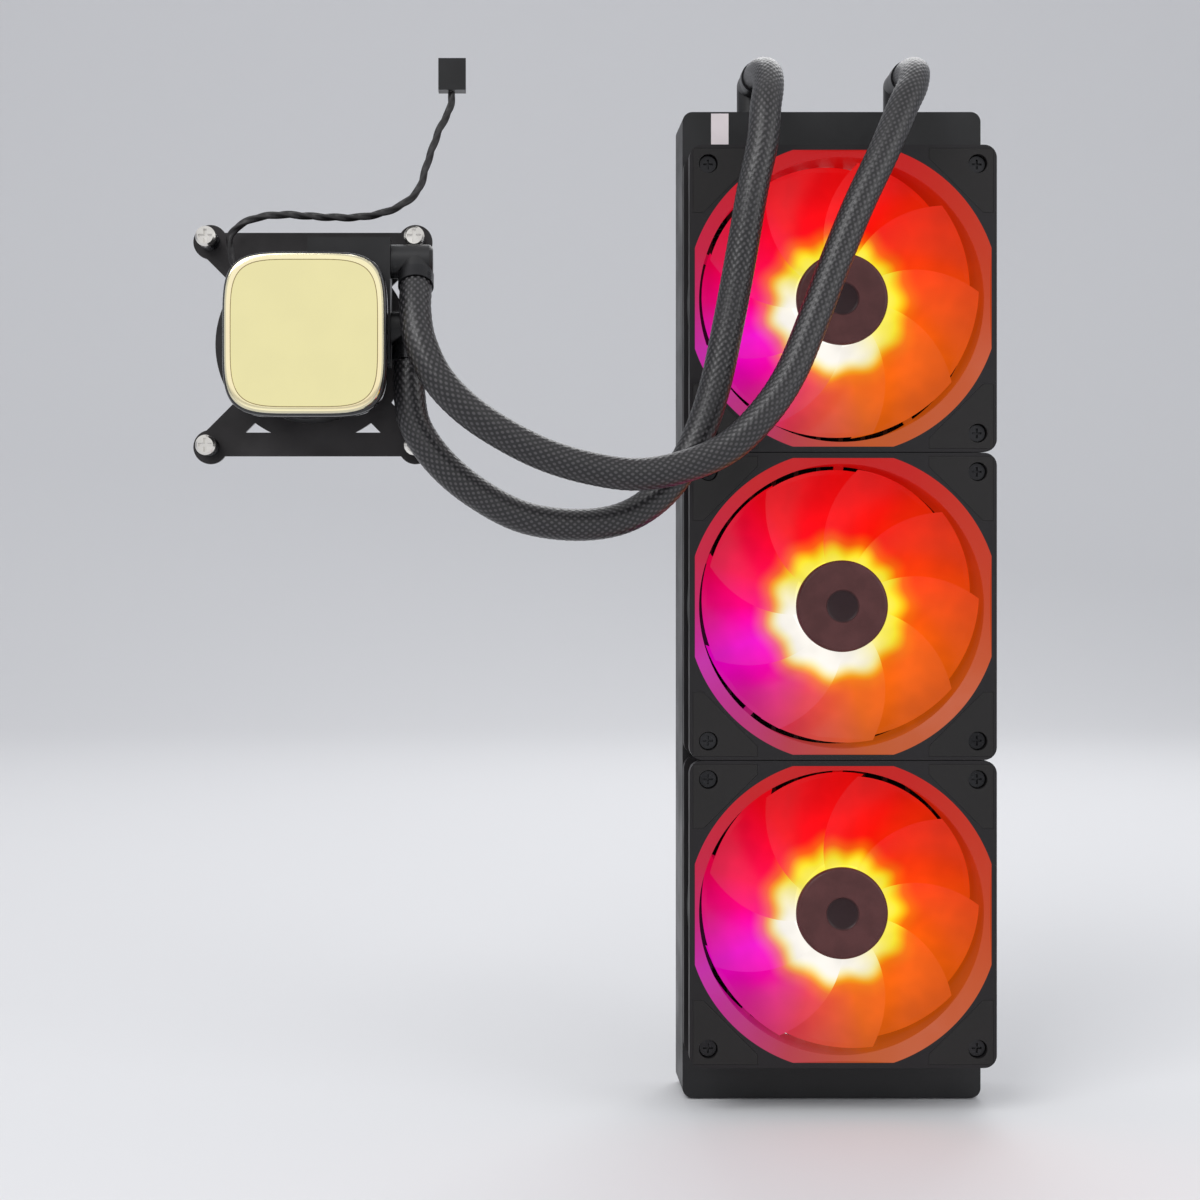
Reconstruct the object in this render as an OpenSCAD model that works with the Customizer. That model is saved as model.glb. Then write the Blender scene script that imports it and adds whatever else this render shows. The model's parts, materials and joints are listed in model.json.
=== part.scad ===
// Sealed liquid cooler for a desktop computer: a triple-fan radiator stood on end,
// two braided hoses and a pump head that clamps on a processor.
// Origin: centre of the radiator's back mounting face. +Z runs along the radiator,
// +Y points out of its back, and the fans and the pump head face -Y.

/* [Radiator] */
// Width of the radiator and of each fan
fan_size = 120; // [116:1:144]
// Number of millimetres each tank adds beyond the fans
tank_h = 18.5; // [14:0.5:26]
// Depth of the radiator, front to back
rad_d = 27; // [24:0.5:36]
// Thickness of the folded side rails
rail_t = 1.2; // [0.8:0.1:2]
// Width of the rail flanges that carry the screw holes
rail_flange = 12; // [11:0.5:15]
// Wall of the two tanks
tank_wall = 1.5; // [1:0.1:2.5]
// Number of flat water tubes in the core
tube_count = 12; // [8:1:14]
// Thickness of one flat water tube
tube_t = 1.8; // [1.4:0.1:2.4]
// Depth of the core, front to back
core_d = 18; // [14:0.5:18]
// Distance from one fold of a fin to the next
fin_pitch = 18; // [12:1:30]

/* [Fans] */
// Depth of one fan
fan_d = 25; // [24:0.5:30]
// Distance of the screw holes from the edge of a fan
hole_inset = 7.5; // [7:0.25:8]
// Bore of the fan frame
fan_bore = 111.5; // [108:0.5:113]
// Diameter of the impeller over its blades
impeller_dia = 108; // [100:0.5:109]
// Diameter of the impeller hub
hub_dia = 36; // [34:0.5:42]
// Number of blades on one impeller
blade_count = 9; // [7:1:11]
// Diameter of the fan shaft
shaft_dia = 3; // [2.5:0.1:4]

/* [Fasteners] */
// Thread diameter of the fan screws
fan_screw_dia = 3; // [2.5:0.1:3]
// Head diameter of the fan screws
fan_head_dia = 6.4; // [5.5:0.1:6.8]
// Diameter of the screw holes in the rails
rail_hole_dia = 3.2; // [3.1:0.1:4]
// Spacing of the four bracket screws
bracket_pitch = 78; // [76:0.5:84]
// Diameter of the bracket screws' free ends
bracket_screw_dia = 4; // [3:0.1:4.5]
// How far a bracket screw can be pushed in
screw_travel = 3; // [2:0.5:4]

/* [Pump head] */
// Width of the square mirror cap
cap_w = 60; // [56:1:64]
// Corner radius of the mirror cap
cap_r = 16; // [12:1:20]
// Diameter of the round pump housing
housing_dia = 60; // [58:1:64]
// Height of the pump housing above the cold plate
housing_h = 28; // [26:1:34]
// Thickness of the copper cold plate
plate_t = 4; // [3:0.5:6]
// Thickness of the steel bracket
bracket_t = 2; // [1.5:0.1:2.5]

/* [Hoses] */
// Outer diameter of the braided hoses
hose_dia = 12; // [11:0.5:12.5]
// Diameter of the pump cable
cable_dia = 3; // [2.4:0.2:3.6]

/* [Hidden] */
$fn = 48;

// Clearances
running = 0.05;   // radial gap of a shaft in its bearing
slip = 0.08;      // radial gap of a captive screw or a swivel
seat = 0.1;       // gap between parts that are brazed, glued or clipped
cord_gap = 0.3;   // gap between a soft hose and the fitting it butts against
over = 1;         // how far a cutter runs past a face

// Radiator, with depths counted forward from the back mounting face
rail_len = 3 * fan_size;
rad_len = rail_len + 2 * tank_h;
core_back = (rad_d - core_d) / 2;
core_w = fan_size - 2 * rail_t - 2 * seat;
header_t = 1.6;
header_z = rail_len / 2;
core_len = rail_len;
tube_pitch = core_w / (tube_count + 1);
fin_w = tube_pitch - tube_t - 2 * seat;
fin_t = 0.8;

// Fans, with depths counted forward from each fan's back face
fan_z = [fan_size, 0, -fan_size];
frame_gap = 0.3;
hole_pitch = fan_size - 2 * hole_inset;
frame_w = fan_size - frame_gap;
frame_r = 5;
flange_t = 4;
duct_wall = 3;
lip_reach = 5.25;
lip_edge = 2.1;
lip_depth = 3.5;
lip_dia = fan_bore + 2 * lip_reach;
lip_w = frame_w - 2 * lip_edge;
motor_dia = hub_dia + 2;
motor_base_t = 2.4;
bearing_dia = 6;
bearing_top = 17;
tower_dia = 8;
hub_back = 5;
hub_front = 24.3;
hub_wall = 1.5;
dimple_dia = 13;
dimple_d = 0.8;
blade_back = 4.8;
blade_h = 17.5;
blade_turn = 34;
blade_t = 1.6;
magnet_t = 2.4;
magnet_back = 6.5;
magnet_h = 12.5;
stator_gap = 0.6;
stator_dia = hub_dia - 2 * hub_wall - 2 * seat - 2 * magnet_t - 2 * stator_gap;
stator_back = 7;
stator_h = 8;
coil_d = 1.6;
pole_count = 4;
pole_w = 5;
pole_tip_t = 2;
coil_len = 3.2;
board_t = 1.2;
pad_leg = 25;
pad_t = 1.2;
pad_edge = 1.4;
pad_lip_gap = 1.2;
screw_head_t = 2;
screw_recess = pad_t + 0.8;
screw_hole_dia = 4.4;
screw_grip = 2.4;

// Pump head: centre in x and z, and depths counted forward from the mounting face
head_x = -205;
head_z = 100;
head_back = 60;
plate_dia = housing_dia - 4;
plate_pad_w = 38;
housing_back = head_back + plate_t + seat;
housing_front = housing_back + housing_h;
housing_wall = 2.5;
chamber_h = 12;
deck_t = 2;
bezel_h = 11;
bezel_wall = 2.4;
glass_t = 2;
glass_inset = 1.2;
ring_t = 2.4;
ring_h = 3;
bracket_back = housing_back + 3;
bracket_arm_w = 11;
bracket_ear_dia = 13;
bracket_bar_w = 9;
bracket_ring_w = 7;
spring_turns = 5;
spring_wire = 1;
spring_reserve = 3;
spring_len = spring_turns * spring_wire + screw_travel + spring_reserve;
spring_mean_dia = 6.2;
bracket_head_dia = 7.6;
bracket_head_t = 3.2;
collar_t = 1;
stud_out = 5;
screw_waist = 0.6;
slot_len = 5.2;
slot_w = 1.3;
slot_d = 2.2;
plate_screw_count = 8;
plate_screw_dia = 4.4;

// Pump ports and swivel elbows: heights are from the head's centre
port_depth = 85;
port_block_x = 30.5;
port_block_w = 14;
port_block_low = -10;
port_block_high = 37;
upper_port = 29;
lower_port = 4;
upper_reach = 40;
lower_reach = 37.5;
upper_tilt = 34;
lower_tilt = 8;
barrel_dia = 12.6;
spigot_dia = 7;
spigot_bore = 4.4;
spigot_len = 5;
ferrule_dia = 13.2;
ferrule_len = 5.4;
ferrule_start = 7;
elbow_bore = 5;
seal_wire = 1.2;

// Radiator elbows
inlet_x = 30;
inlet_rise = 13.5;
inlet_z = rad_len / 2 + inlet_rise;
inlet_back = rad_d / 2;
inlet_reach = 10;

// The cable gland sits on the housing at 45 degrees, up and away from the ports
gland_angle = 135;
gland_len = 5;
gland_dia = 6;
plug_size = [10.4, 6, 12];

function port_point(reach, height) = [head_x + reach, -port_depth, head_z + height];
function outlet_dir(tilt) = [0, -sin(tilt), -cos(tilt)];
function hose_start(reach, height, tilt) =
    port_point(reach, height)
    + (ferrule_start + ferrule_len + cord_gap) * outlet_dir(tilt);
function hose_end(side) = [side * inlet_x, -(inlet_back + inlet_reach + ferrule_len
    + cord_gap), inlet_z];

straight = 12;
inlet_straight = 4;
upper_route = [
    hose_start(upper_reach, upper_port, upper_tilt),
    hose_start(upper_reach, upper_port, upper_tilt) + straight * outlet_dir(upper_tilt),
    [-163, -104, 97], [-157, -107, 84], [-147, -108, 73], [-134, -107, 64],
    [-118, -106, 56], [-101, -105, 51], [-84, -103, 49], [-67, -101, 52],
    [-51, -99, 59], [-38, -97, 71], [-27, -94, 87], [-17, -90, 110], [-9, -87, 130],
    [0, -84, 151], [10, -79, 171], [19, -71, 190], [24, -64, 199], [27, -55, 206],
    [29, -44, 210], hose_end(1) - [0, inlet_straight, 0],
    hose_end(1)
];
lower_route = [
    hose_start(lower_reach, lower_port, lower_tilt),
    hose_start(lower_reach, lower_port, lower_tilt) + straight * outlet_dir(lower_tilt),
    [-165, -89, 67], [-156, -90, 54], [-143, -90, 43], [-126, -90, 34],
    [-107, -88, 31], [-90, -86, 33], [-77, -84, 40], [-67, -82, 51], [-59, -80, 66],
    [-53, -79, 84], [-48, -78, 107], [-43, -78, 134], [-39, -78, 157],
    [-35, -76, 175], [-33, -71, 190], [-31, -64, 199], [-30, -55, 206],
    [-30, -44, 210], hose_end(-1) - [0, inlet_straight, 0],
    hose_end(-1)
];
gland_dir = [cos(gland_angle), 0, sin(gland_angle)];
gland_tip = [head_x, -80, head_z] + (housing_dia / 2 + gland_len) * gland_dir;
plug_at = [-152, -70, 196];
cable_route = [
    gland_tip + cord_gap * gland_dir,
    gland_tip + 5 * gland_dir,
    [-235, -80, 139], [-228, -81, 145], [-216, -82, 147], [-200, -83, 146],
    [-186, -83, 146], [-174, -82, 149], [-165, -80, 156], [-161, -77, 168],
    [-157, -74, 180], [-153, -71, 189],
    plug_at - [0, 0, cord_gap]
];

// ---------------------------------------------------------------- helpers

// Turns a flat drawing so that its +Y points up and its +Z faces the front.
module front(depth = 0) {
    rotate([90, 0, 0]) translate([0, 0, depth]) children();
}

// Places children at the four corners of a square pattern.
module four(pitch) {
    for (sx = [-1, 1], sy = [-1, 1])
        translate([sx * pitch / 2, sy * pitch / 2, 0]) children();
}

// A rectangle with round corners, centred.
module round_rect(w, h, r) {
    square([w - 2 * r, h], center = true);
    square([w, h - 2 * r], center = true);
    for (sx = [-1, 1], sy = [-1, 1])
        translate([sx * (w / 2 - r), sy * (h / 2 - r)]) circle(r = r);
}

module ring(outer, inner, h) {
    difference() {
        cylinder(d = outer, h = h);
        translate([0, 0, -over]) cylinder(d = inner, h = h + 2 * over);
    }
}

// Cross-shaped screwdriver recess, cut down from z = 0.
module cross_recess(len, w, depth) {
    for (a = [0, 90])
        rotate(a) translate([-len / 2, -w / 2, -depth]) cube([len, w, depth + over]);
}

// ---------------------------------------------------------------- swept cords

function unit(v) = v / norm(v);
function side_of(t, n) = unit(n - (n * t) * t);

// A point on the smooth curve through p, between p[i] and p[i + 1].
function curve_point(p, i, f) =
    let (n = len(p) - 1,
         a = i > 0 ? p[i - 1] : 2 * p[0] - p[1],
         b = p[i],
         c = p[i + 1],
         d = i + 2 <= n ? p[i + 2] : 2 * p[n] - p[n - 1])
    0.5 * (2 * b + f * (c - a) + f * f * (2 * a - 5 * b + 4 * c - d)
        + f * f * f * (3 * b - a - 3 * c + d));

function fill_in(p, parts) = concat(
    [for (i = [0 : len(p) - 2], k = [0 : parts - 1]) curve_point(p, i, k / parts)],
    [p[len(p) - 1]]);

function tangent(q, i) =
    let (n = len(q) - 1)
    i == 0 ? unit(q[1] - q[0]) : i == n ? unit(q[n] - q[n - 1]) : unit(q[i + 1] - q[i - 1]);

// Sweeps a round section along the points q, carrying its first side direction along.
module swept_tube(q, dia, sides) {
    t = [for (i = [0 : len(q) - 1]) tangent(q, i)];
    first = abs(t[0].y) < 0.9 ? [0, 1, 0] : [1, 0, 0];
    n = [for (i = 0, s = side_of(t[0], first); i < len(q);
            i = i + 1, s = i < len(q) ? side_of(t[i], s) : s) s];
    points = [for (i = [0 : len(q) - 1], k = [0 : sides - 1])
        q[i] + dia / 2 * (cos(360 * k / sides) * n[i]
            + sin(360 * k / sides) * cross(t[i], n[i]))];
    last = (len(q) - 1) * sides;
    faces = concat(
        [[for (k = [0 : sides - 1]) k]],
        [for (i = [0 : len(q) - 2], k = [0 : sides - 1])
            let (a = i * sides + k, b = i * sides + (k + 1) % sides)
            [b, a, a + sides, b + sides]],
        [[for (k = [sides - 1 : -1 : 0]) last + k]]);
    polyhedron(points, faces, convexity = 8);
}

// ---------------------------------------------------------------- radiator

// One folded C-shaped rail on the +X side, with screw holes for three fans.
module side_rail() {
    difference() {
        front() translate([fan_size / 2 - rail_flange, -rail_len / 2, 0])
            cube([rail_flange, rail_len, rad_d]);
        front() translate([fan_size / 2 - rail_flange - over, -rail_len / 2 - over, rail_t])
            cube([rail_flange - rail_t + over, rail_len + 2 * over, rad_d - 2 * rail_t]);
        for (z = fan_z, s = [-1, 1])
            translate([0, 0, z + s * hole_pitch / 2]) front(-over)
                translate([hole_pitch / 2, 0, 0])
                    cylinder(d = rail_hole_dia, h = rad_d + 2 * over);
    }
}

module side_rails() {
    color("#1b1b1d") {
        side_rail();
        mirror([1, 0, 0]) side_rail();
    }
}

// A tank is a drawn box, open towards the core. Its mouth is at z = 0.
module tank(h) {
    r = 4;
    difference() {
        front() translate([-fan_size / 2, 0, 0]) cube([fan_size, h - r, rad_d]);
        front(tank_wall) translate([-fan_size / 2 + tank_wall, -over, 0])
            cube([fan_size - 2 * tank_wall, h - r + 2 * over, rad_d - 2 * tank_wall]);
    }
    difference() {
        front() translate([0, h - r, 0]) tank_crown(fan_size, rad_d, r);
        front(tank_wall) translate([0, h - r - over, 0]) translate([0, over, 0])
            tank_crown(fan_size - 2 * tank_wall, rad_d - 2 * tank_wall, r - tank_wall);
    }
}

// The rounded far end of a tank: its ends turn over a radius in the front view.
module tank_crown(w, d, r) {
    linear_extrude(d) {
        translate([-w / 2 + r, 0]) square([w - 2 * r, r]);
        for (s = [-1, 1])
            translate([s * (w / 2 - r), 0]) intersection() {
                circle(r = r);
                translate([-r, 0]) square([2 * r, r]);
            }
    }
}

module top_tank() {
    color("#1b1b1d") difference() {
        union() {
            translate([0, 0, header_z + seat]) tank(tank_h - seat);
            // Wall between the inlet half and the outlet half
            translate([-tank_wall / 2, -rad_d + tank_wall / 2, header_z + header_t + 2 * seat])
                cube([tank_wall, rad_d - tank_wall,
                    tank_h - header_t - 2 * seat - tank_wall / 2]);
        }
        for (s = [-1, 1])
            translate([s * inlet_x, -inlet_back, rad_len / 2 - 2 * tank_wall])
                cylinder(d = elbow_bore, h = 3 * tank_wall);
    }
}

module bottom_tank() {
    color("#1b1b1d") rotate([0, 180, 0])
        translate([0, 0, header_z + seat]) tank(tank_h - seat);
}

// Slotted plates that close the tanks and hold the tube ends.
module header_plates() {
    w = fan_size - 2 * tank_wall - 2 * seat;
    d = rad_d - 2 * tank_wall - 2 * seat;
    color("#2a2a2c") for (s = [0, 180]) rotate([0, s, 0])
        difference() {
            translate([-w / 2, -rad_d / 2 - d / 2, header_z + seat]) cube([w, d, header_t]);
            for (i = [1 : tube_count])
                translate([-core_w / 2 + i * tube_pitch - tube_t / 2 - seat,
                    -core_back - core_d - seat, header_z - over])
                    cube([tube_t + 2 * seat, core_d + 2 * seat, header_t + 2 * over]);
        }
}

// Flat water tubes from tank to tank, each with its bore.
module core_tubes() {
    z = header_z + seat + header_t + seat;
    bore = tube_t / 2;
    color("#202022") for (i = [1 : tube_count])
        translate([-core_w / 2 + i * tube_pitch, -rad_d / 2, 0]) difference() {
            cube([tube_t, core_d, 2 * z], center = true);
            cube([bore, core_d - bore, 2 * z + 2 * over], center = true);
        }
}

// One folded fin strip: a zigzag seen from the front, as deep as the core.
module fin_strip() {
    folds = floor(core_len / fin_pitch) - 1;
    h = folds * fin_pitch;
    x = (fin_w - fin_t) / 2;
    crest = [for (i = [0 : 2 * folds]) [i % 2 == 0 ? -x : x, -h / 2 + i * fin_pitch / 2]];
    front(core_back) linear_extrude(core_d)
        polygon(concat(
            [for (p = crest) [p.x + fin_t / 2, p.y]],
            [for (i = [len(crest) - 1 : -1 : 0]) [crest[i].x - fin_t / 2, crest[i].y]]));
}

module core_fins() {
    color("#141416") for (i = [0 : tube_count])
        translate([-core_w / 2 + (i + 0.5) * tube_pitch, 0, 0]) fin_strip();
}

// Low hose elbows on the top tank, with outlets that face the front.
module radiator_elbow() {
    base_z = rad_len / 2 + seat / 2;
    color("#101012") difference() {
        union() {
            translate([0, -inlet_back, base_z]) cylinder(d = barrel_dia + 3, h = 2);
            translate([0, -inlet_back, base_z]) cylinder(d = barrel_dia, h = inlet_z - base_z);
            translate([0, -inlet_back, inlet_z]) sphere(d = barrel_dia);
            translate([0, 0, inlet_z]) front(inlet_back) cylinder(d = barrel_dia, h = inlet_reach);
            translate([0, 0, inlet_z]) front(inlet_back + inlet_reach - seat)
                cylinder(d = hose_dia - 4, h = ferrule_len);
        }
        translate([0, -inlet_back, base_z - over]) cylinder(d = elbow_bore, h = inlet_z - base_z);
        translate([0, 0, inlet_z]) front(inlet_back)
            cylinder(d = elbow_bore, h = inlet_reach + ferrule_len + over);
        translate([0, -inlet_back, inlet_z]) sphere(d = elbow_bore);
    }
}

module radiator_elbows() {
    for (s = [-1, 1]) translate([s * inlet_x, 0, 0]) radiator_elbow();
}

module ferrule() {
    ring(ferrule_dia, hose_dia - 4 + 2 * seat, ferrule_len - seat);
}

module radiator_ferrules() {
    color("#0c0c0d") for (s = [-1, 1])
        translate([s * inlet_x, 0, inlet_z]) front(inlet_back + inlet_reach + seat) ferrule();
}

// A small blank label at the left end of the top tank.
module blank_label() {
    label_x = 15;
    label_y = 6.9;
    label = [7, 12.4, 0.2];
    color("#d8dade") translate([-fan_size / 2 + label_x, 0, header_z + tank_h - label_y])
        front(rad_d) translate([-label.x / 2, -label.y / 2, 0]) cube(label);
}

// ---------------------------------------------------------------- fans

// Seats children on the radiator's front face, on the axis of fan number i.
module at_fan(i) {
    translate([0, 0, fan_z[i]]) front(rad_d) children();
}

module corner_pad_outline(grow = 0) {
    out = frame_w / 2 - pad_edge + grow;
    in = out - pad_leg - 2 * grow;
    nick = (lip_dia / 2 + pad_lip_gap - grow) * sqrt(2) - in;
    polygon([[out, out], [out, in], [nick, in], [in, nick], [in, out]]);
}

module fan_frame() {
    color("#17181a") difference() {
        union() {
            difference() {
                linear_extrude(fan_d) round_rect(frame_w, frame_w, frame_r);
                // Open corners behind the front flange
                difference() {
                    translate([-frame_w, -frame_w, flange_t])
                        cube([2 * frame_w, 2 * frame_w, fan_d - 2 * flange_t]);
                    cylinder(d = fan_bore + 2 * duct_wall, h = fan_d);
                    four(hole_pitch) cylinder(d = screw_hole_dia + 4, h = fan_d);
                }
                translate([0, 0, -over]) cylinder(d = fan_bore, h = fan_d + 2 * over);
                // Flared front lip, cut off by four flats inside the frame's edge
                translate([0, 0, fan_d - lip_depth]) intersection() {
                    cylinder(d1 = fan_bore, d2 = lip_dia, h = lip_depth + 0.01);
                    translate([-lip_w / 2, -lip_w / 2, 0]) cube([lip_w, lip_w, lip_depth + over]);
                }
            }
            fan_struts();
        }
        four(hole_pitch) translate([0, 0, -over])
            cylinder(d = screw_hole_dia, h = fan_d + 2 * over);
        four(hole_pitch) translate([0, 0, fan_d - screw_recess - screw_head_t])
            cylinder(d = fan_head_dia + 1, h = fan_d);
        for (a = [0 : 90 : 270]) rotate(a) translate([0, 0, fan_d - pad_t - seat])
            linear_extrude(fan_d) corner_pad_outline(seat);
        cylinder(d = bearing_dia + 2 * seat, h = fan_d);
    }
}

// Motor base, bearing tower and the five struts behind the blades.
module fan_struts() {
    strut = [fan_bore / 2 + duct_wall / 2, 3.6, 2.4];
    cylinder(d = motor_dia, h = motor_base_t);
    cylinder(d = tower_dia, h = bearing_top);
    for (a = [18 : 72 : 360]) rotate(a) translate([hub_dia / 4, 4, 0])
        rotate(-8) translate([0, -strut.y / 2, 0])
            cube([strut.x - hub_dia / 4 - 0.5, strut.y, strut.z]);
}

// One blade: a swept-back strip that winds round the hub as it rises. f runs from
// root to tip, g from back edge to front edge, and side picks a face of the blade.
module blade() {
    root = hub_dia / 2 - hub_wall / 2;
    tip = impeller_dia / 2;
    sweep = 16;
    n = 4;
    row = n + 1;
    function at(f, g, side) =
        let (r = root + (tip - root) * f,
             a = blade_turn * g - sweep * f * f + side * atan(blade_t / 2 / r))
        [r * cos(a), r * sin(a), blade_back + blade_h * g];
    points = [for (side = [-1, 1], i = [0 : n], j = [0 : n]) at(i / n, j / n, side)];
    // The rim of the grid, walked once round
    rim = concat([for (i = [0 : n - 1]) i * row], [for (j = [0 : n - 1]) n * row + j],
        [for (i = [n : -1 : 1]) i * row + n], [for (j = [n : -1 : 1]) j]);
    faces = concat(
        [for (i = [0 : n - 1], j = [0 : n - 1], half = [0, 1])
            let (a = i * row + j)
            half == 0 ? [a + row + 1, a + row, a] : [a + 1, a + row + 1, a]],
        [for (i = [0 : n - 1], j = [0 : n - 1], half = [0, 1])
            let (a = row * row + i * row + j)
            half == 0 ? [a, a + row, a + row + 1] : [a, a + row + 1, a + 1]],
        [for (k = [0 : len(rim) - 1], half = [0, 1])
            let (a = rim[k], b = rim[(k + 1) % len(rim)], up = row * row)
            half == 0 ? [a + up, a, b] : [b + up, a + up, b]]);
    polyhedron(points, faces, convexity = 4);
}

module fan_impeller() {
    boss_dia = shaft_dia + 4;
    color("#5a3038") {
        difference() {
            union() {
                translate([0, 0, hub_back]) cylinder(d = hub_dia, h = hub_front - hub_back);
                for (i = [1 : blade_count]) rotate(i * 360 / blade_count) blade();
            }
            cylinder(d = hub_dia - 2 * hub_wall, h = hub_front - hub_wall);
            translate([0, 0, hub_front - dimple_d]) cylinder(d = dimple_dia, h = fan_d);
        }
        translate([0, 0, bearing_top + 1.2])
            ring(boss_dia, shaft_dia + 2 * running, hub_front - hub_wall - bearing_top - 1.2);
    }
}

module fan_magnet_ring() {
    outer = hub_dia - 2 * hub_wall - 2 * seat;
    color("#3c3c40") translate([0, 0, magnet_back]) ring(outer, outer - 2 * magnet_t, magnet_h);
}

module fan_shaft() {
    color("#c9ccd2") translate([0, 0, 2.6])
        cylinder(d = shaft_dia, h = hub_front - hub_wall - 2.6 - seat);
}

// Laminated core: a ring on the tower with four poles and curved tips.
module fan_stator() {
    inner = tower_dia + 2 * seat;
    color("#8a8d93") translate([0, 0, stator_back]) difference() {
        union() {
            cylinder(d = inner + 4, h = stator_h);
            ring(stator_dia, stator_dia - 2 * pole_tip_t, stator_h);
            for (a = [0 : 360 / pole_count : 359]) rotate(a)
                translate([0, -pole_w / 4, 0])
                    cube([stator_dia / 2 - pole_tip_t / 2, pole_w / 2, stator_h]);
        }
        translate([0, 0, -over]) cylinder(d = inner, h = stator_h + 2 * over);
        for (a = [0 : 360 / pole_count : 359]) rotate(a + 180 / pole_count)
            translate([inner / 2 + 3, -1, -over])
                cube([stator_dia, 2, stator_h + 2 * over]);
    }
}

// Copper windings, one round each pole of each stator.
module fan_coils() {
    start = tower_dia / 2 + seat + 2.4;
    w = pole_w / 2;
    color("#b5642f") for (i = [0 : 2]) at_fan(i)
        for (a = [0 : 360 / pole_count : 359]) rotate(a)
            translate([start, 0, stator_back]) difference() {
                translate([0, -w / 2 - coil_d, -coil_d])
                    cube([coil_len, w + 2 * coil_d, stator_h + 2 * coil_d]);
                translate([-over, -w / 2 - seat, -seat])
                    cube([coil_len + 2 * over, w + 2 * seat, stator_h + 2 * seat]);
            }
}

// Drive boards with their row of lights, on each motor base.
module fan_boards() {
    lamp = [2, 2, 0.9];
    color("#1f4a34") for (i = [0 : 2]) at_fan(i) translate([0, 0, motor_base_t + seat]) {
        ring(hub_dia - 4, tower_dia + 2 * seat, board_t);
        for (a = [0 : 45 : 359]) rotate(a)
            translate([hub_dia / 2 - 5.2, -lamp.y / 2, board_t]) cube(lamp);
    }
}

module fan_bearings() {
    color("#a9803f") for (i = [0 : 2]) at_fan(i) translate([0, 0, 2.6])
        ring(bearing_dia, shaft_dia + 2 * running, bearing_top - 2.6);
}

module fan_corner_pads() {
    color("#0e0e0f") for (i = [0 : 2]) at_fan(i) for (a = [0 : 90 : 270]) rotate(a)
        difference() {
            translate([0, 0, fan_d - pad_t]) linear_extrude(pad_t) corner_pad_outline();
            translate([hole_pitch / 2, hole_pitch / 2, 0])
                cylinder(d = fan_head_dia + 1, h = fan_d + over);
        }
}

// Long screws that run through a fan into the radiator's front flanges.
module fan_screws() {
    head_back = fan_d - screw_recess - screw_head_t;
    color("#26262a") for (i = [0 : 2]) at_fan(i) four(hole_pitch) {
        translate([0, 0, -screw_grip]) cylinder(d = fan_screw_dia, h = screw_grip + head_back + 0.1);
        difference() {
            translate([0, 0, head_back]) cylinder(d = fan_head_dia, h = screw_head_t);
            translate([0, 0, head_back + screw_head_t]) cross_recess(3.8, 0.8, 1.2);
        }
    }
}

// Parts of fan number i
module at_fan_frame(i) { at_fan(i) fan_frame(); }
module at_fan_impeller(i) { at_fan(i) fan_impeller(); }
module at_fan_magnet_ring(i) { at_fan(i) fan_magnet_ring(); }
module at_fan_shaft(i) { at_fan(i) fan_shaft(); }
module at_fan_stator(i) { at_fan(i) fan_stator(); }

// ---------------------------------------------------------------- pump head

// Puts children on the pump head's axis, at a depth from the mounting face.
module at_head(depth = 0) {
    translate([head_x, 0, head_z]) front(depth) children();
}

// Copper plate with a polished square foot and a block of fine fins inside.
module cold_plate() {
    fin_block = [26, 26, 2.6];
    color("#b8683a") at_head(head_back) difference() {
        union() {
            linear_extrude(1) round_rect(plate_pad_w, plate_pad_w, 4);
            translate([0, 0, 0.9]) cylinder(d = plate_dia, h = plate_t - 0.9);
            for (i = [-6 : 6])
                translate([i * 2 - 0.3, -fin_block.y / 2, plate_t - 0.1])
                    cube([0.6, fin_block.y, fin_block.z]);
        }
        for (i = [1 : plate_screw_count]) rotate((i + 0.5) * 360 / plate_screw_count)
            translate([plate_dia / 2 - 3.6, 0, -over])
                cylinder(d = plate_screw_dia / 2 + 0.4, h = plate_t + 2 * over);
    }
}

module cold_plate_seal() {
    color("#0b0b0b") at_head(housing_back - seat)
        ring(plate_dia - 14, plate_dia - 18, seal_wire - seat);
}

module cold_plate_screws() {
    color("#9a9da3") at_head(head_back + 1) for (i = [1 : plate_screw_count])
        rotate((i + 0.5) * 360 / plate_screw_count) translate([plate_dia / 2 - 3.6, 0, 0])
            difference() {
                union() {
                    translate([0, 0, -1.1]) cylinder(d = plate_screw_dia, h = 1);
                    translate([0, 0, -0.2]) cylinder(d = plate_screw_dia / 2, h = plate_t + 2);
                }
                translate([0, 0, -1.1 - over]) cylinder(d = 1.8, h = over + 0.6, $fn = 6);
            }
}

// Round casting: the water chamber is open to the back, the motor well to the front.
module pump_housing() {
    motor_floor = chamber_h + deck_t;
    inner = housing_dia - 2 * housing_wall;
    color("#1a1a1c") difference() {
        union() {
            at_head(housing_back) cylinder(d = housing_dia, h = housing_h);
            at_head(port_depth - port_block_w / 2) translate([0, port_block_low, 0])
                cube([port_block_x, port_block_high - port_block_low, port_block_w]);
            for (h = [upper_port, lower_port])
                translate(port_point(port_block_x - 0.5, h)) rotate([0, 90, 0])
                    cylinder(d = spigot_dia, h = spigot_len + 0.5);
        }
        at_head(housing_back - over) cylinder(d = plate_dia - 20, h = chamber_h + over);
        at_head(housing_back - over)
            ring(plate_dia - 14 + 2 * seat, plate_dia - 18 - 2 * seat, over + seal_wire);
        at_head(housing_back + motor_floor)
            cylinder(d = inner - 14, h = housing_h - motor_floor + over);
        for (h = [upper_port, lower_port])
            translate(port_point(-port_block_x / 3, h)) rotate([0, 90, 0])
                cylinder(d = spigot_bore, h = 2 * port_block_x);
        at_head(housing_back - over) for (i = [1 : plate_screw_count])
            rotate((i + 0.5) * 360 / plate_screw_count) translate([plate_dia / 2 - 3.6, 0, 0])
                cylinder(d = plate_screw_dia / 2 + 2 * seat, h = 5 + over);
    }
}

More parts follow.
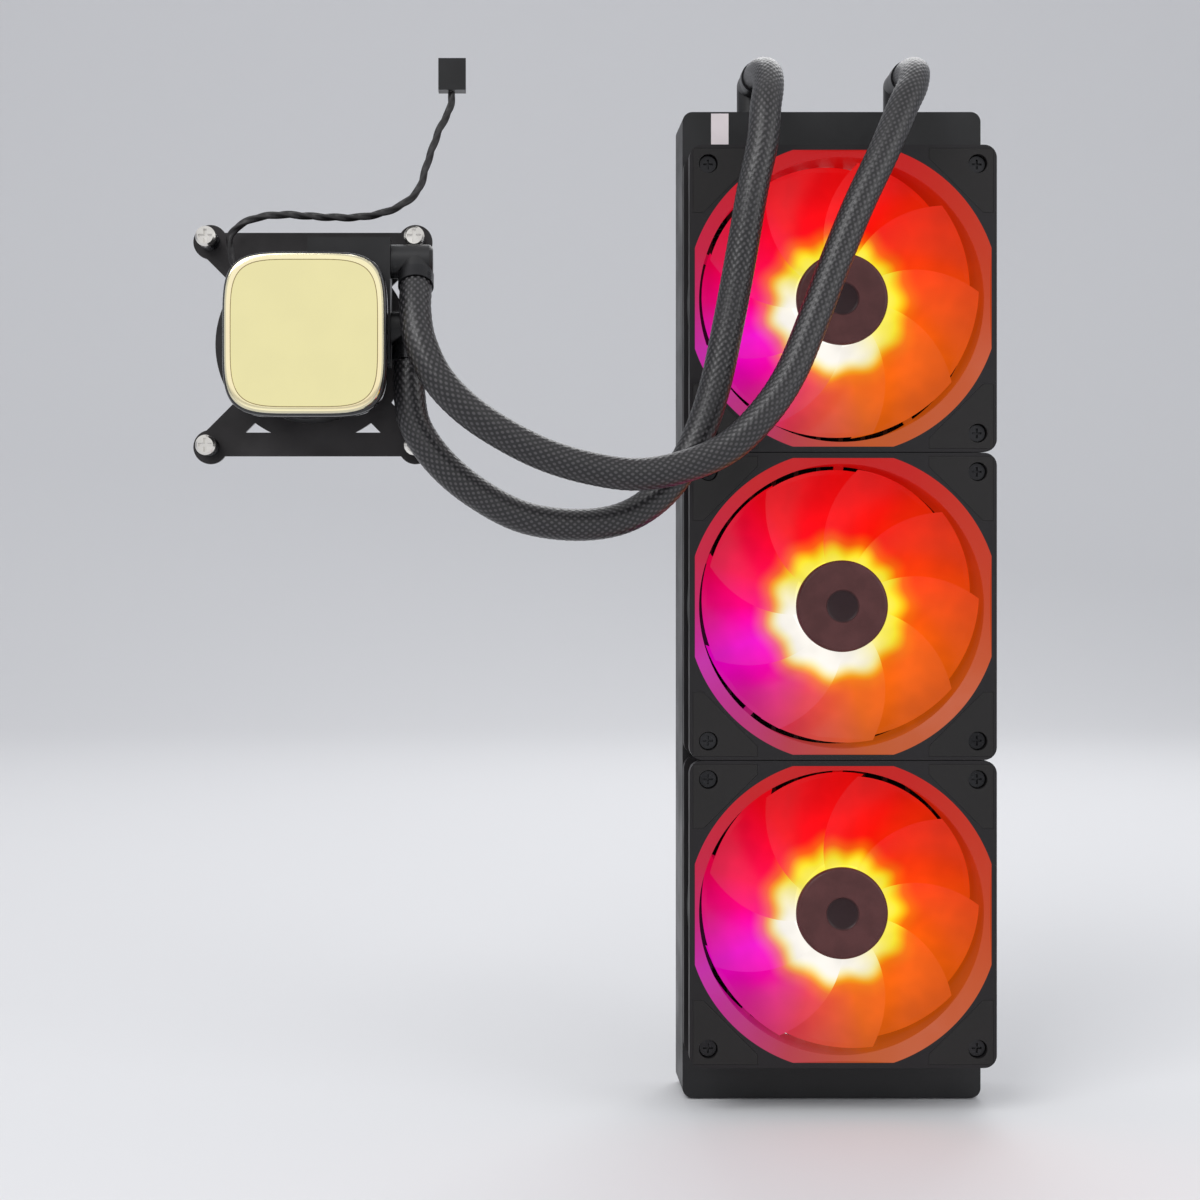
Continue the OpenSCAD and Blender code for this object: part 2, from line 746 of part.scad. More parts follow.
// Plate that guides water from the impeller over the fins.
module pump_volute() {
    color("#d9d5c8") at_head(housing_back + 4.4)
        ring(plate_dia - 20 - 2 * seat, 16, 1.4);
}

module pump_pin() {
    color("#e8e6df") at_head(housing_back + 4.6)
        cylinder(d = 2, h = chamber_h - 4.6 - seat / 2);
}

// Bladed disc with its magnet core, turning on the fixed pin.
module pump_impeller() {
    color("#3a3d42") at_head(housing_back + 6.2) difference() {
        union() {
            cylinder(d = 26, h = 1.4);
            translate([0, 0, 1.3]) cylinder(d = 14, h = 3.9);
            for (a = [0 : 60 : 300]) rotate(a)
                translate([6.5, -0.5, 1.3]) cube([6, 1, 2.2]);
        }
        translate([0, 0, -over]) cylinder(d = 2 + 2 * running, h = 8);
    }
}

module pump_stator() {
    at = housing_back + chamber_h + deck_t + seat;
    color("#9a6a3a") at_head(at) {
        ring(34, 30, 7);
        for (a = [0 : 60 : 300]) rotate(a) translate([7, -2.5, 0.5]) cube([9, 5, 5]);
        ring(16, 10, 6);
    }
}

module pump_board() {
    at = housing_front - 3;
    color("#1d3f30") at_head(at) {
        cylinder(d = housing_dia - 2 * housing_wall - 15, h = 1.4);
        for (a = [0 : 30 : 330]) rotate(a) translate([16, -1, 1.3]) cube([2, 2, 0.9]);
    }
}

module cap_bezel() {
    color("#121214") at_head(housing_front + seat) difference() {
        linear_extrude(bezel_h) round_rect(cap_w, cap_w, cap_r);
        translate([0, 0, 2]) linear_extrude(bezel_h)
            round_rect(cap_w - 2 * bezel_wall, cap_w - 2 * bezel_wall, cap_r - bezel_wall);
        translate([0, 0, -over]) cylinder(d = 40, h = 4);
    }
}

// Clear diffuser that carries light to the rim of the glass.
module light_ring() {
    w = cap_w - 2 * bezel_wall - 2 * seat;
    depth = housing_front + seat + bezel_h - ring_h;
    color("#f2e7c4") at_head(depth) linear_extrude(ring_h) difference() {
        round_rect(w, w, cap_r - bezel_wall - seat);
        round_rect(w - 2 * ring_t, w - 2 * ring_t, cap_r - bezel_wall - ring_t - seat);
    }
}

module mirror_glass() {
    w = cap_w - 2 * glass_inset;
    color("#d8c48a") at_head(housing_front + 2 * seat + bezel_h)
        linear_extrude(glass_t) round_rect(w, w, cap_r - glass_inset);
}

// Flat steel bracket: a ring round the housing and four arms with turned-up ears.
module bracket() {
    inner = housing_dia + 2 * seat;
    reach = bracket_pitch / 2;
    bar_y = reach - bracket_ear_dia / 2 + bracket_bar_w / 2 + 1;
    color("#3a3a3d") at_head(bracket_back) difference() {
        union() {
            cylinder(d = inner + 2 * bracket_ring_w, h = bracket_t);
            four(bracket_pitch) cylinder(d = bracket_ear_dia, h = bracket_t);
            for (a = [45 : 90 : 315]) rotate(a)
                translate([0, -bracket_arm_w / 2, 0])
                    cube([reach * sqrt(2), bracket_arm_w, bracket_t]);
            for (s = [-1, 1]) translate([-reach, s * bar_y - bracket_bar_w / 2, 0])
                cube([2 * reach, bracket_bar_w, bracket_t]);
        }
        translate([0, 0, -over]) cylinder(d = inner, h = bracket_t + 2 * over);
        four(bracket_pitch) translate([0, 0, -over])
            cylinder(d = bracket_screw_dia + 2 * slip, h = bracket_t + 2 * over);
    }
}

corners = [[-1, 1], [1, 1], [-1, -1], [1, -1]];

module at_bracket_corner(i, depth) {
    at_head(depth) translate(corners[i] * bracket_pitch / 2) children();
}

// Captive spring screw: head, waisted shank, collar behind the bracket and threaded free end.
module bracket_screw(i) {
    head_at = bracket_back + bracket_t + spring_len;
    collar_at = bracket_back - seat - collar_t;
    tip = head_back - stud_out;
    color("#cfd2d6") {
        at_bracket_corner(i, tip)
            cylinder(d = bracket_screw_dia, h = collar_at - tip + 0.1);
        at_bracket_corner(i, collar_at)
            cylinder(d = bracket_screw_dia - screw_waist, h = head_at - collar_at + 0.1);
        at_bracket_corner(i, collar_at) cylinder(d = bracket_screw_dia + 2, h = collar_t);
        at_bracket_corner(i, head_at) difference() {
            union() {
                cylinder(d = bracket_head_dia, h = bracket_head_t - 0.8);
                translate([0, 0, bracket_head_t - 0.8])
                    cylinder(d1 = bracket_head_dia, d2 = bracket_head_dia - 1.6, h = 0.8);
            }
            translate([0, 0, bracket_head_t]) cross_recess(slot_len, slot_w, slot_d);
        }
    }
}

// Coil spring between the bracket and the screw head.
module bracket_spring(i) {
    lift = spring_len - spring_wire - 2 * seat;
    steps = 12;
    turns = [for (k = [0 : spring_turns * steps]) let (a = 360 * k / steps)
        [spring_mean_dia / 2 * cos(a), spring_mean_dia / 2 * sin(a),
            spring_wire / 2 + seat + lift * k / (spring_turns * steps)]];
    color("#1c1c1e") at_bracket_corner(i, bracket_back + bracket_t)
        swept_tube(turns, spring_wire, 6);
}

// ---------------------------------------------------------------- ports and hoses

module port_seals() {
    color("#0b0b0b") for (h = [upper_port, lower_port])
        translate(port_point(port_block_x + seat / 2, h)) rotate([0, 90, 0])
            ring(spigot_dia + 2 * seal_wire + 2 * slip, spigot_dia + 2 * slip, seal_wire - seat);
}

// Swivel elbow: a barrel on the port's spigot and an outlet turned down by the tilt.
module elbow(reach, height, tilt) {
    barrel = reach - port_block_x;
    outlet_dia = barrel_dia - 0.8;
    water_way = spigot_bore - 0.6;
    color("#0f0f11") translate(port_point(reach, height)) difference() {
        union() {
            translate([-barrel + seat, 0, 0]) rotate([0, 90, 0])
                cylinder(d = barrel_dia, h = barrel - seat + outlet_dia / 2 - 1);
            translate([outlet_dia / 2 - 1, 0, 0]) rotate([0, 90, 0])
                cylinder(d1 = barrel_dia, d2 = barrel_dia - 2.4, h = 1.2);
            rotate([-tilt, 0, 0]) mirror([0, 0, 1]) {
                cylinder(d = outlet_dia, h = ferrule_start);
                cylinder(d = hose_dia - 4, h = ferrule_start + ferrule_len - seat);
            }
        }
        translate([-barrel - over, 0, 0]) rotate([0, 90, 0])
            cylinder(d = spigot_dia + 2 * slip, h = spigot_len + 0.4 + over);
        translate([-barrel, 0, 0]) rotate([0, 90, 0])
            cylinder(d = spigot_dia + 2 * seal_wire + 4 * slip, h = seal_wire + seat);
        translate([-barrel, 0, 0]) rotate([0, 90, 0]) cylinder(d = spigot_bore, h = barrel + 1);
        rotate([-tilt, 0, 0]) mirror([0, 0, 1])
            cylinder(d = water_way, h = ferrule_start + ferrule_len + over);
    }
}

module elbow_ferrule(reach, height, tilt) {
    color("#0c0c0d") translate(port_point(reach, height)) rotate([-tilt, 0, 0])
        mirror([0, 0, 1]) translate([0, 0, ferrule_start + seat]) ferrule();
}

module upper_elbow() { elbow(upper_reach, upper_port, upper_tilt); }
module lower_elbow() { elbow(lower_reach, lower_port, lower_tilt); }
module upper_ferrule() { elbow_ferrule(upper_reach, upper_port, upper_tilt); }
module lower_ferrule() { elbow_ferrule(lower_reach, lower_port, lower_tilt); }

module upper_hose() {
    color("#19191b") swept_tube(fill_in(upper_route, 2), hose_dia, 12);
}

module lower_hose() {
    color("#19191b") swept_tube(fill_in(lower_route, 2), hose_dia, 12);
}

module cable_gland() {
    color("#0d0d0e") translate(gland_tip) rotate([0, 90 - gland_angle, 0])
        translate([0, 0, -gland_len + seat])
            cylinder(d1 = gland_dia, d2 = cable_dia + 1, h = gland_len - seat);
}

module pump_cable() {
    color("#151517") swept_tube(cable_route, cable_dia, 8);
}

module cable_plug() {
    color("#0d0d0e") translate(plug_at + [-plug_size.x / 2, -plug_size.y / 2, 0])
        difference() {
            cube(plug_size);
            for (i = [0 : 3])
                translate([1.3 + i * 2.54 - 0.5, plug_size.y / 2 - 0.5, 4])
                    cube([1, 1, plug_size.z]);
        }
}

side_rails();
top_tank();
bottom_tank();
header_plates();
core_tubes();
core_fins();
radiator_elbows();
radiator_ferrules();
blank_label();
at_fan_frame(0);  // fan_top_frame
at_fan_impeller(0);  // fan_top_impeller
at_fan_magnet_ring(0);  // fan_top_magnet_ring
at_fan_shaft(0);  // fan_top_shaft
at_fan_stator(0);  // fan_top_stator
at_fan_frame(1);  // fan_middle_frame
at_fan_impeller(1);  // fan_middle_impeller
at_fan_magnet_ring(1);  // fan_middle_magnet_ring
at_fan_shaft(1);  // fan_middle_shaft
at_fan_stator(1);  // fan_middle_stator
at_fan_frame(2);  // fan_bottom_frame
at_fan_impeller(2);  // fan_bottom_impeller
at_fan_magnet_ring(2);  // fan_bottom_magnet_ring
at_fan_shaft(2);  // fan_bottom_shaft
at_fan_stator(2);  // fan_bottom_stator
fan_coils();
fan_boards();
fan_bearings();
fan_corner_pads();
fan_screws();
cold_plate();
cold_plate_seal();
cold_plate_screws();
pump_housing();
pump_volute();
pump_pin();
pump_impeller();
pump_stator();
pump_board();
light_ring();
cap_bezel();
mirror_glass();
bracket();
bracket_screw(0);  // bracket_screw_1
bracket_screw(1);  // bracket_screw_2
bracket_screw(2);  // bracket_screw_3
bracket_screw(3);  // bracket_screw_4
bracket_spring(0);  // bracket_spring_1
bracket_spring(1);  // bracket_spring_2
bracket_spring(2);  // bracket_spring_3
bracket_spring(3);  // bracket_spring_4
port_seals();
upper_elbow();
lower_elbow();
upper_ferrule();
lower_ferrule();
upper_hose();
lower_hose();
cable_gland();
pump_cable();
cable_plug();
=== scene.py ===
"""Looks of a sealed liquid cooler: radiator, three lit fans, two braided hoses and a pump head."""

import json
import logging
import math
from collections.abc import Sequence
from dataclasses import dataclass, field
from enum import Enum

import bmesh
import bpy
import numpy as np
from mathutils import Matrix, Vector


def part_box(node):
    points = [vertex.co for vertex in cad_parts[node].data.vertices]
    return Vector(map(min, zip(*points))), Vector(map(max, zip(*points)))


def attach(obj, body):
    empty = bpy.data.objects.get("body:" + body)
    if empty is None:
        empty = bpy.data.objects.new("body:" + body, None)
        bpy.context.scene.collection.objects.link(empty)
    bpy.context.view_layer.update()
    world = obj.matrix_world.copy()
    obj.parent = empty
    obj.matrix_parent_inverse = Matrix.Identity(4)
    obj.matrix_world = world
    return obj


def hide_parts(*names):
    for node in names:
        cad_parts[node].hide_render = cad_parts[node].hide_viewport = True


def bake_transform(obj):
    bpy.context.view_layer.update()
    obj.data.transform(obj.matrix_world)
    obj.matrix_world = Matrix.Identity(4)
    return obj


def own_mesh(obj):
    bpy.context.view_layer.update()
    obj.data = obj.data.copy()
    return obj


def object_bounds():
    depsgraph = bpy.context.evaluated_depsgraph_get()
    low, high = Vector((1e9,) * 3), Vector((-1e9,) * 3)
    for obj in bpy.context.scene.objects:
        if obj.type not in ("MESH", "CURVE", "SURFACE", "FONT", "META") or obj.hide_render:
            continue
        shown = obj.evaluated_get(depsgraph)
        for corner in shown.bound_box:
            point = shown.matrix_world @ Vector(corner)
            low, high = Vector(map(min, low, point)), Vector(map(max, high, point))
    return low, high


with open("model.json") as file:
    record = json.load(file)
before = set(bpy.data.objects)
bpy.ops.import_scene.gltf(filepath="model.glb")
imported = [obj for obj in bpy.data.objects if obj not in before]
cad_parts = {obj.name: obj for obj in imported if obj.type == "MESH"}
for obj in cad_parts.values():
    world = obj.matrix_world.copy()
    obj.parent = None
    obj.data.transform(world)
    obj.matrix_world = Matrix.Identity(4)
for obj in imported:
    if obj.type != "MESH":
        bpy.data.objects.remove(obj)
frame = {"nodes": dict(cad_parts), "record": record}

LOG = logging.getLogger("liquid_cooler")
MM = 0.001
CAD_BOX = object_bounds()

Colour = tuple[float, float, float]
Point = tuple[float, float, float]


# ------------------------------------------------------------------ node trees


class NodeTree:
    """Short-hand for writing one material's nodes."""

    def __init__(self, name: str) -> None:
        """Start an empty material with a Principled shader.

        Args:
            name: The material's name.
        """
        self.material = bpy.data.materials.new(name)
        self.material.use_nodes = True
        self.tree = self.material.node_tree
        self.tree.nodes.clear()
        self.output = self.add("ShaderNodeOutputMaterial")
        self.shader = self.add("ShaderNodeBsdfPrincipled")
        self.link(self.shader.outputs["BSDF"], self.output.inputs["Surface"])

    def add(self, kind: str, **settings: object) -> bpy.types.Node:
        """Add a node and set its properties.

        Args:
            kind: Blender's node type.
            settings: Property names and values.

        Returns:
            The node.
        """
        node = self.tree.nodes.new(kind)
        for key, value in settings.items():
            setattr(node, key, value)
        return node

    def link(self, source: bpy.types.NodeSocket, target: bpy.types.NodeSocket) -> None:
        """Join two sockets."""
        self.tree.links.new(source, target)

    def feed(self, socket: bpy.types.NodeSocket, value: object) -> None:
        """Link a socket, or write a plain value to it.

        Args:
            socket: The socket that takes the value.
            value: A socket, a number or a tuple.
        """
        if isinstance(value, bpy.types.NodeSocket):
            self.link(value, socket)
        elif isinstance(value, tuple) and len(socket.default_value) == 4 and len(value) == 3:
            socket.default_value = (*value, 1.0)
        else:
            socket.default_value = value

    def shade(self, **values: object) -> None:
        """Set the shader's sockets, with underscores for the spaces in their names."""
        for key, value in values.items():
            self.feed(self.shader.inputs[key.replace("_", " ")], value)

    def place(self, centre: Point = (0.0, 0.0, 0.0), scale: Point = (1.0, 1.0, 1.0),
              uv: bool = False) -> bpy.types.NodeSocket:
        """Give coordinates on the object, or on its own UV map, counted from a centre.

        Args:
            centre: The point that becomes the origin, in metres.
            scale: Stretch along each axis.
            uv: True to read the UV map.

        Returns:
            The vector socket.
        """
        source = self.add("ShaderNodeTexCoord").outputs["UV" if uv else "Object"]
        mapping = self.add("ShaderNodeMapping", vector_type="POINT")
        mapping.inputs["Location"].default_value = tuple(-c * s for c, s in zip(centre, scale))
        mapping.inputs["Scale"].default_value = scale
        self.link(source, mapping.inputs["Vector"])
        return mapping.outputs["Vector"]

    def polar(self, centre: Point) -> tuple[bpy.types.NodeSocket, ...]:
        """Measure from a centre whose axis runs from front to back.

        Args:
            centre: The point that becomes the origin, in metres.

        Returns:
            The sockets of x, y, z, the distance from the axis and the angle round it.
        """
        split = self.add("ShaderNodeSeparateXYZ")
        self.link(self.place(centre), split.inputs[0])
        x, y, z = (split.outputs[k] for k in "XYZ")
        square = self.sum("ADD", self.sum("MULTIPLY", x, x), self.sum("MULTIPLY", z, z))
        return x, y, z, self.sum("SQRT", square), self.sum("ARCTAN2", z, x)

    def round_trip(self, angle: bpy.types.NodeSocket) -> bpy.types.NodeSocket:
        """Give an angle as a share of the full turn, from 0 at the left to 1 at the left."""
        return self.sum("FRACT", self.sum("ADD", self.sum("MULTIPLY", angle, 1 / math.tau), 0.5))

    def noise(self, vector: bpy.types.NodeSocket, scale: float, detail: float = 3.0,
              roughness: float = 0.5) -> bpy.types.NodeSocket:
        """Add fractal noise.

        Args:
            vector: The coordinates that it reads.
            scale: Waves to the metre.
            detail: How many finer layers are added.
            roughness: How strong each finer layer is.

        Returns:
            The value socket, from 0 to 1.
        """
        node = self.add("ShaderNodeTexNoise")
        self.link(vector, node.inputs["Vector"])
        node.inputs["Scale"].default_value = scale
        node.inputs["Detail"].default_value = detail
        node.inputs["Roughness"].default_value = roughness
        return node.outputs["Fac"]

    def sum(self, operation: str, *values: object) -> bpy.types.NodeSocket:
        """Add a math node.

        Args:
            operation: Blender's name of the operation.
            values: Sockets or numbers that it works on.

        Returns:
            The value socket.
        """
        node = self.add("ShaderNodeMath", operation=operation)
        for socket, value in zip(node.inputs, values):
            self.feed(socket, value)
        return node.outputs["Value"]

    def fade(self, value: bpy.types.NodeSocket, low: float, high: float,
             to_low: float = 0.0, to_high: float = 1.0) -> bpy.types.NodeSocket:
        """Map a value from one range to another, smoothly and clamped at both ends.

        Args:
            value: The value socket.
            low: Value at which the fade starts.
            high: Value at which it ends.
            to_low: Result at the start.
            to_high: Result at the end.

        Returns:
            The result socket.
        """
        node = self.add("ShaderNodeMapRange", interpolation_type="SMOOTHSTEP")
        self.link(value, node.inputs["Value"])
        for key, number in (("From Min", low), ("From Max", high),
                            ("To Min", to_low), ("To Max", to_high)):
            node.inputs[key].default_value = number
        return node.outputs["Result"]

    def blend(self, amount: object, first: object, second: object) -> bpy.types.NodeSocket:
        """Mix two colours.

        Args:
            amount: Share of the second colour.
            first: The first colour, or its socket.
            second: The second colour, or its socket.

        Returns:
            The colour socket.
        """
        node = self.add("ShaderNodeMix", data_type="RGBA")
        self.feed(node.inputs["Factor"], amount)
        self.feed(node.inputs[6], first)
        self.feed(node.inputs[7], second)
        return node.outputs[2]

    def ramp(self, value: bpy.types.NodeSocket,
             stops: Sequence[tuple[float, Colour]]) -> bpy.types.NodeSocket:
        """Colour a value by a ramp.

        Args:
            value: The value socket, from 0 to 1.
            stops: Position and colour of each stop.

        Returns:
            The colour socket.
        """
        node = self.add("ShaderNodeValToRGB")
        elements = node.color_ramp.elements
        while len(elements) < len(stops):
            elements.new(0.5)
        for element, (position, colour) in zip(elements, stops):
            element.position = position
            element.color = (*colour, 1.0)
        self.link(value, node.inputs["Fac"])
        return node.outputs["Color"]

    def bump(self, height: bpy.types.NodeSocket, depth: float) -> None:
        """Give the shader a bumped normal.

        Args:
            height: The height socket, from 0 to 1.
            depth: What a height of 1 stands for, in metres.
        """
        node = self.add("ShaderNodeBump")
        node.inputs["Strength"].default_value = 1.0
        node.inputs["Distance"].default_value = depth
        self.link(height, node.inputs["Height"])
        self.link(node.outputs["Normal"], self.shader.inputs["Normal"])


# ------------------------------------------------------------------ finishes


@dataclass(frozen=True)
class Coating:
    """Painted or moulded surface: two close shades, a fine grain and a little wear of gloss."""

    name: str
    colour: Colour
    roughness: float = 0.45
    variation: float = 0.25
    cloud: float = 22 * MM
    grain: float = 0.5 * MM
    grain_depth: float = 0.02 * MM
    metallic: float = 0.0
    coat: float = 0.0
    specular: float = 0.35

    def make(self) -> bpy.types.Material:
        """Write the material.

        Returns:
            The material.
        """
        n = NodeTree(self.name)
        at = n.place()
        clouds = n.noise(at, 1 / self.cloud, 4.0)
        grain = n.noise(at, 1 / self.grain, 3.0, 0.6)
        darker = tuple(c * (1 - self.variation) for c in self.colour)
        lighter = tuple(min(1.0, c * (1 + self.variation)) for c in self.colour)
        n.shade(
            Base_Color=n.blend(n.fade(clouds, 0.3, 0.7), darker, lighter),
            Roughness=n.fade(clouds, 0.3, 0.7, self.roughness - 0.06, self.roughness + 0.07),
            Metallic=self.metallic,
            Coat_Weight=self.coat,
            Specular_IOR_Level=self.specular,
        )
        n.bump(grain, self.grain_depth)
        return n.material


@dataclass(frozen=True)
class HubCap:
    """Satin taupe cap with a darker dimple in its middle and faint turning marks; its red tint is
    painted glow from the lit blades.
    """

    name: str
    centre: Point
    dimple: float = 6.3 * MM
    mark_pitch: float = 0.5 * MM
    mark_depth: float = 0.008 * MM
    cloud: float = 7 * MM
    # The red tint of this colour is painted glow from the lit blades; the cap itself is a dark warm
    # grey.
    colour: Colour = (0.100, 0.036, 0.036)
    dark: Colour = (0.026, 0.012, 0.014)

    def make(self) -> bpy.types.Material:
        """Write the material.

        Returns:
            The material.
        """
        n = NodeTree(self.name)
        *_, radius, _ = n.polar(self.centre)
        clouds = n.noise(n.place(), 1 / self.cloud, 4.0)
        marks = n.sum("SINE", n.sum("MULTIPLY", radius, math.tau / self.mark_pitch))
        worn = tuple(c * 0.8 for c in self.colour)
        satin = n.blend(n.fade(clouds, 0.3, 0.7), worn, self.colour)
        n.shade(
            Base_Color=n.blend(n.fade(radius, self.dimple - 0.6 * MM, self.dimple + 0.5 * MM),
                               self.dark, satin),
            Roughness=n.fade(clouds, 0.3, 0.7, 0.3, 0.42),
            Specular_IOR_Level=0.2,
        )
        n.bump(n.fade(marks, -1.0, 1.0), self.mark_depth)
        return n.material


@dataclass(frozen=True)
class BareMetal:
    """Bare or plated metal with drawn lines along one axis and soft smudges."""

    name: str
    colour: Colour
    roughness: float = 0.25
    smudge: float = 9 * MM
    lines: Point = (40.0, 40.0, 2500.0)
    line_depth: float = 0.006 * MM

    def make(self) -> bpy.types.Material:
        """Write the material.

        Returns:
            The material.
        """
        n = NodeTree(self.name)
        smudge = n.noise(n.place(), 1 / self.smudge, 4.0)
        drawn = n.noise(n.place(scale=self.lines), 1.0, 2.0)
        dull = tuple(c * 0.82 for c in self.colour)
        n.shade(
            Base_Color=n.blend(n.fade(smudge, 0.35, 0.7), dull, self.colour),
            Roughness=n.fade(smudge, 0.3, 0.7, self.roughness - 0.05, self.roughness + 0.1),
            Metallic=1.0,
        )
        n.bump(drawn, self.line_depth)
        return n.material


@dataclass(frozen=True)
class Braid:
    """Woven black sleeve: the UV map runs round the hose in U and along it in V."""

    name: str
    strands: int
    rows: float
    fibre: float = 0.35 * MM
    fibre_depth: float = 0.04 * MM
    base: Colour = (0.007, 0.007, 0.008)
    # Lighter colour of the painted highlight on the strand crowns.
    painted_highlight: Colour = (0.062, 0.058, 0.062)

    def make(self) -> bpy.types.Material:
        """Write the material: thread lines cross on both diagonals of the weave, and their crowns
        get a painted highlight.

        Returns:
            The material.
        """
        n = NodeTree(self.name)
        split = n.add("ShaderNodeSeparateXYZ")
        n.link(n.place(uv=True), split.inputs[0])
        u = n.sum("MULTIPLY", split.outputs["X"], float(self.strands))
        v = n.sum("MULTIPLY", split.outputs["Y"], float(self.rows))
        over = n.sum("SINE", n.sum("MULTIPLY", n.sum("ADD", u, v), math.pi))
        under = n.sum("SINE", n.sum("MULTIPLY", n.sum("SUBTRACT", u, v), math.pi))
        # Painted highlight: where the strands cross, their crowns are coloured lighter, as if they
        # caught the light.
        highlight_mask = n.sum("ABSOLUTE", n.sum("MULTIPLY", over, under))
        fine = n.noise(n.place(), 1 / self.fibre, 2.0)
        n.shade(
            Base_Color=n.blend(n.fade(highlight_mask, 0.35, 0.95), self.base, self.painted_highlight),
            Roughness=n.fade(fine, 0.3, 0.7, 0.28, 0.46),
        )
        n.bump(fine, self.fibre_depth)
        return n.material


# Colour of the light round a fan, from the left through the bottom, the right and the top.
GLOW_RING: tuple[tuple[float, Colour], ...] = (
    (0.0, (1.0, 0.0, 0.22)),
    (0.06, (1.0, 0.0, 0.68)),
    (0.12, (0.86, 0.0, 0.36)),
    (0.19, (0.84, 0.045, 0.09)),
    (0.28, (0.95, 0.15, 0.006)),
    (0.42, (1.0, 0.13, 0.003)),
    (0.55, (1.0, 0.055, 0.003)),
    (0.68, (1.0, 0.006, 0.002)),
    (0.85, (1.0, 0.002, 0.012)),
    (0.95, (1.0, 0.0, 0.08)),
    (1.0, (1.0, 0.0, 0.22)),
)


# Colour of the light from the hub outwards.
HALO: tuple[tuple[float, Colour], ...] = (
    (0.0, (1.0, 0.90, 0.12)),
    (0.3, (1.0, 0.84, 0.03)),
    (0.5, (1.0, 0.62, 0.008)),
    (0.75, (1.0, 0.25, 0.004)),
)
# Colour of the pump head's lit rim, from the left through the bottom, the right and the top.
RIM_RING: tuple[tuple[float, Colour], ...] = (
    (0.0, (1.0, 0.40, 0.42)),
    (0.2, (0.95, 0.78, 0.36)),
    (0.4, (0.95, 0.36, 0.12)),
    (0.55, (0.90, 0.66, 0.34)),
    (0.75, (0.98, 0.86, 0.45)),
    (1.0, (1.0, 0.40, 0.42)),
)
DARK: Colour = (0.0, 0.0, 0.0)


@dataclass(frozen=True)
class LitPlastic:
    """Milky plastic lit from the hub: the colour runs round the axis and whitens near it.

    The halo's reach is the distance from the hub, less a small wave for each lamp and
    more above the hub than below it. Its inner part turns white towards one side.
    """

    name: str
    centre: Point
    hub_radius: float
    reach: float = 16 * MM
    lamps: int = 11
    lamp_wave: float = 1.1 * MM
    sag: float = 3.0 * MM
    sag_turn: float = 0.26
    whitest: float = math.radians(235.0)
    white_from: float = 2 * MM
    white_to: float = 9 * MM
    halo_from: float = 4 * MM
    body: Colour = (0.02, 0.004, 0.004)
    white: Colour = (1.0, 0.97, 0.90)

    def make(self) -> bpy.types.Material:
        """Write the material.

        Returns:
            The material.
        """
        n = NodeTree(self.name)
        *_, radius, angle = n.polar(self.centre)
        ring = n.ramp(n.round_trip(angle), GLOW_RING)
        hub, end = self.hub_radius, self.hub_radius + self.reach
        wave = n.sum("COSINE", n.sum("MULTIPLY", angle, float(self.lamps)))
        lobes = n.sum("MULTIPLY", wave, self.lamp_wave)
        low = n.sum("MULTIPLY", n.sum("SINE", n.sum("ADD", angle, self.sag_turn)), self.sag)
        near = n.sum("ADD", n.sum("SUBTRACT", radius, lobes), low)
        fringe = n.ramp(n.fade(near, hub - 1 * MM, end), HALO)
        facing = n.sum("COSINE", n.sum("SUBTRACT", angle, self.whitest))
        white = n.sum("MULTIPLY", n.fade(facing, -0.1, 0.8),
                      n.fade(near, hub + self.white_from, hub + self.white_to, 1.0, 0.0))
        halo = n.blend(white, fringe, self.white)
        amount = n.fade(near, hub + self.halo_from, end, 1.0, 0.0)
        streak = n.noise(n.place(self.centre, (260.0, 20.0, 260.0)), 0.25, 2.0)
        glow = n.blend(amount, ring, halo)
        far = n.fade(radius, end, 3.0 * hub, 1.0, 0.72)
        dim = n.sum("MULTIPLY", n.fade(streak, 0.3, 0.7, 0.86, 1.0), far)
        shown = n.add("ShaderNodeMix", data_type="RGBA", blend_type="MULTIPLY")
        shown.inputs["Factor"].default_value = 1.0
        n.feed(shown.inputs[6], glow)
        n.feed(shown.inputs[7], n.blend(dim, DARK, (1.0, 1.0, 1.0)))
        n.shade(
            Base_Color=self.body,
            Roughness=0.38,
            Specular_IOR_Level=0.12,
            Emission_Color=shown.outputs[2],
            Emission_Strength=1.0,
        )
        return n.material


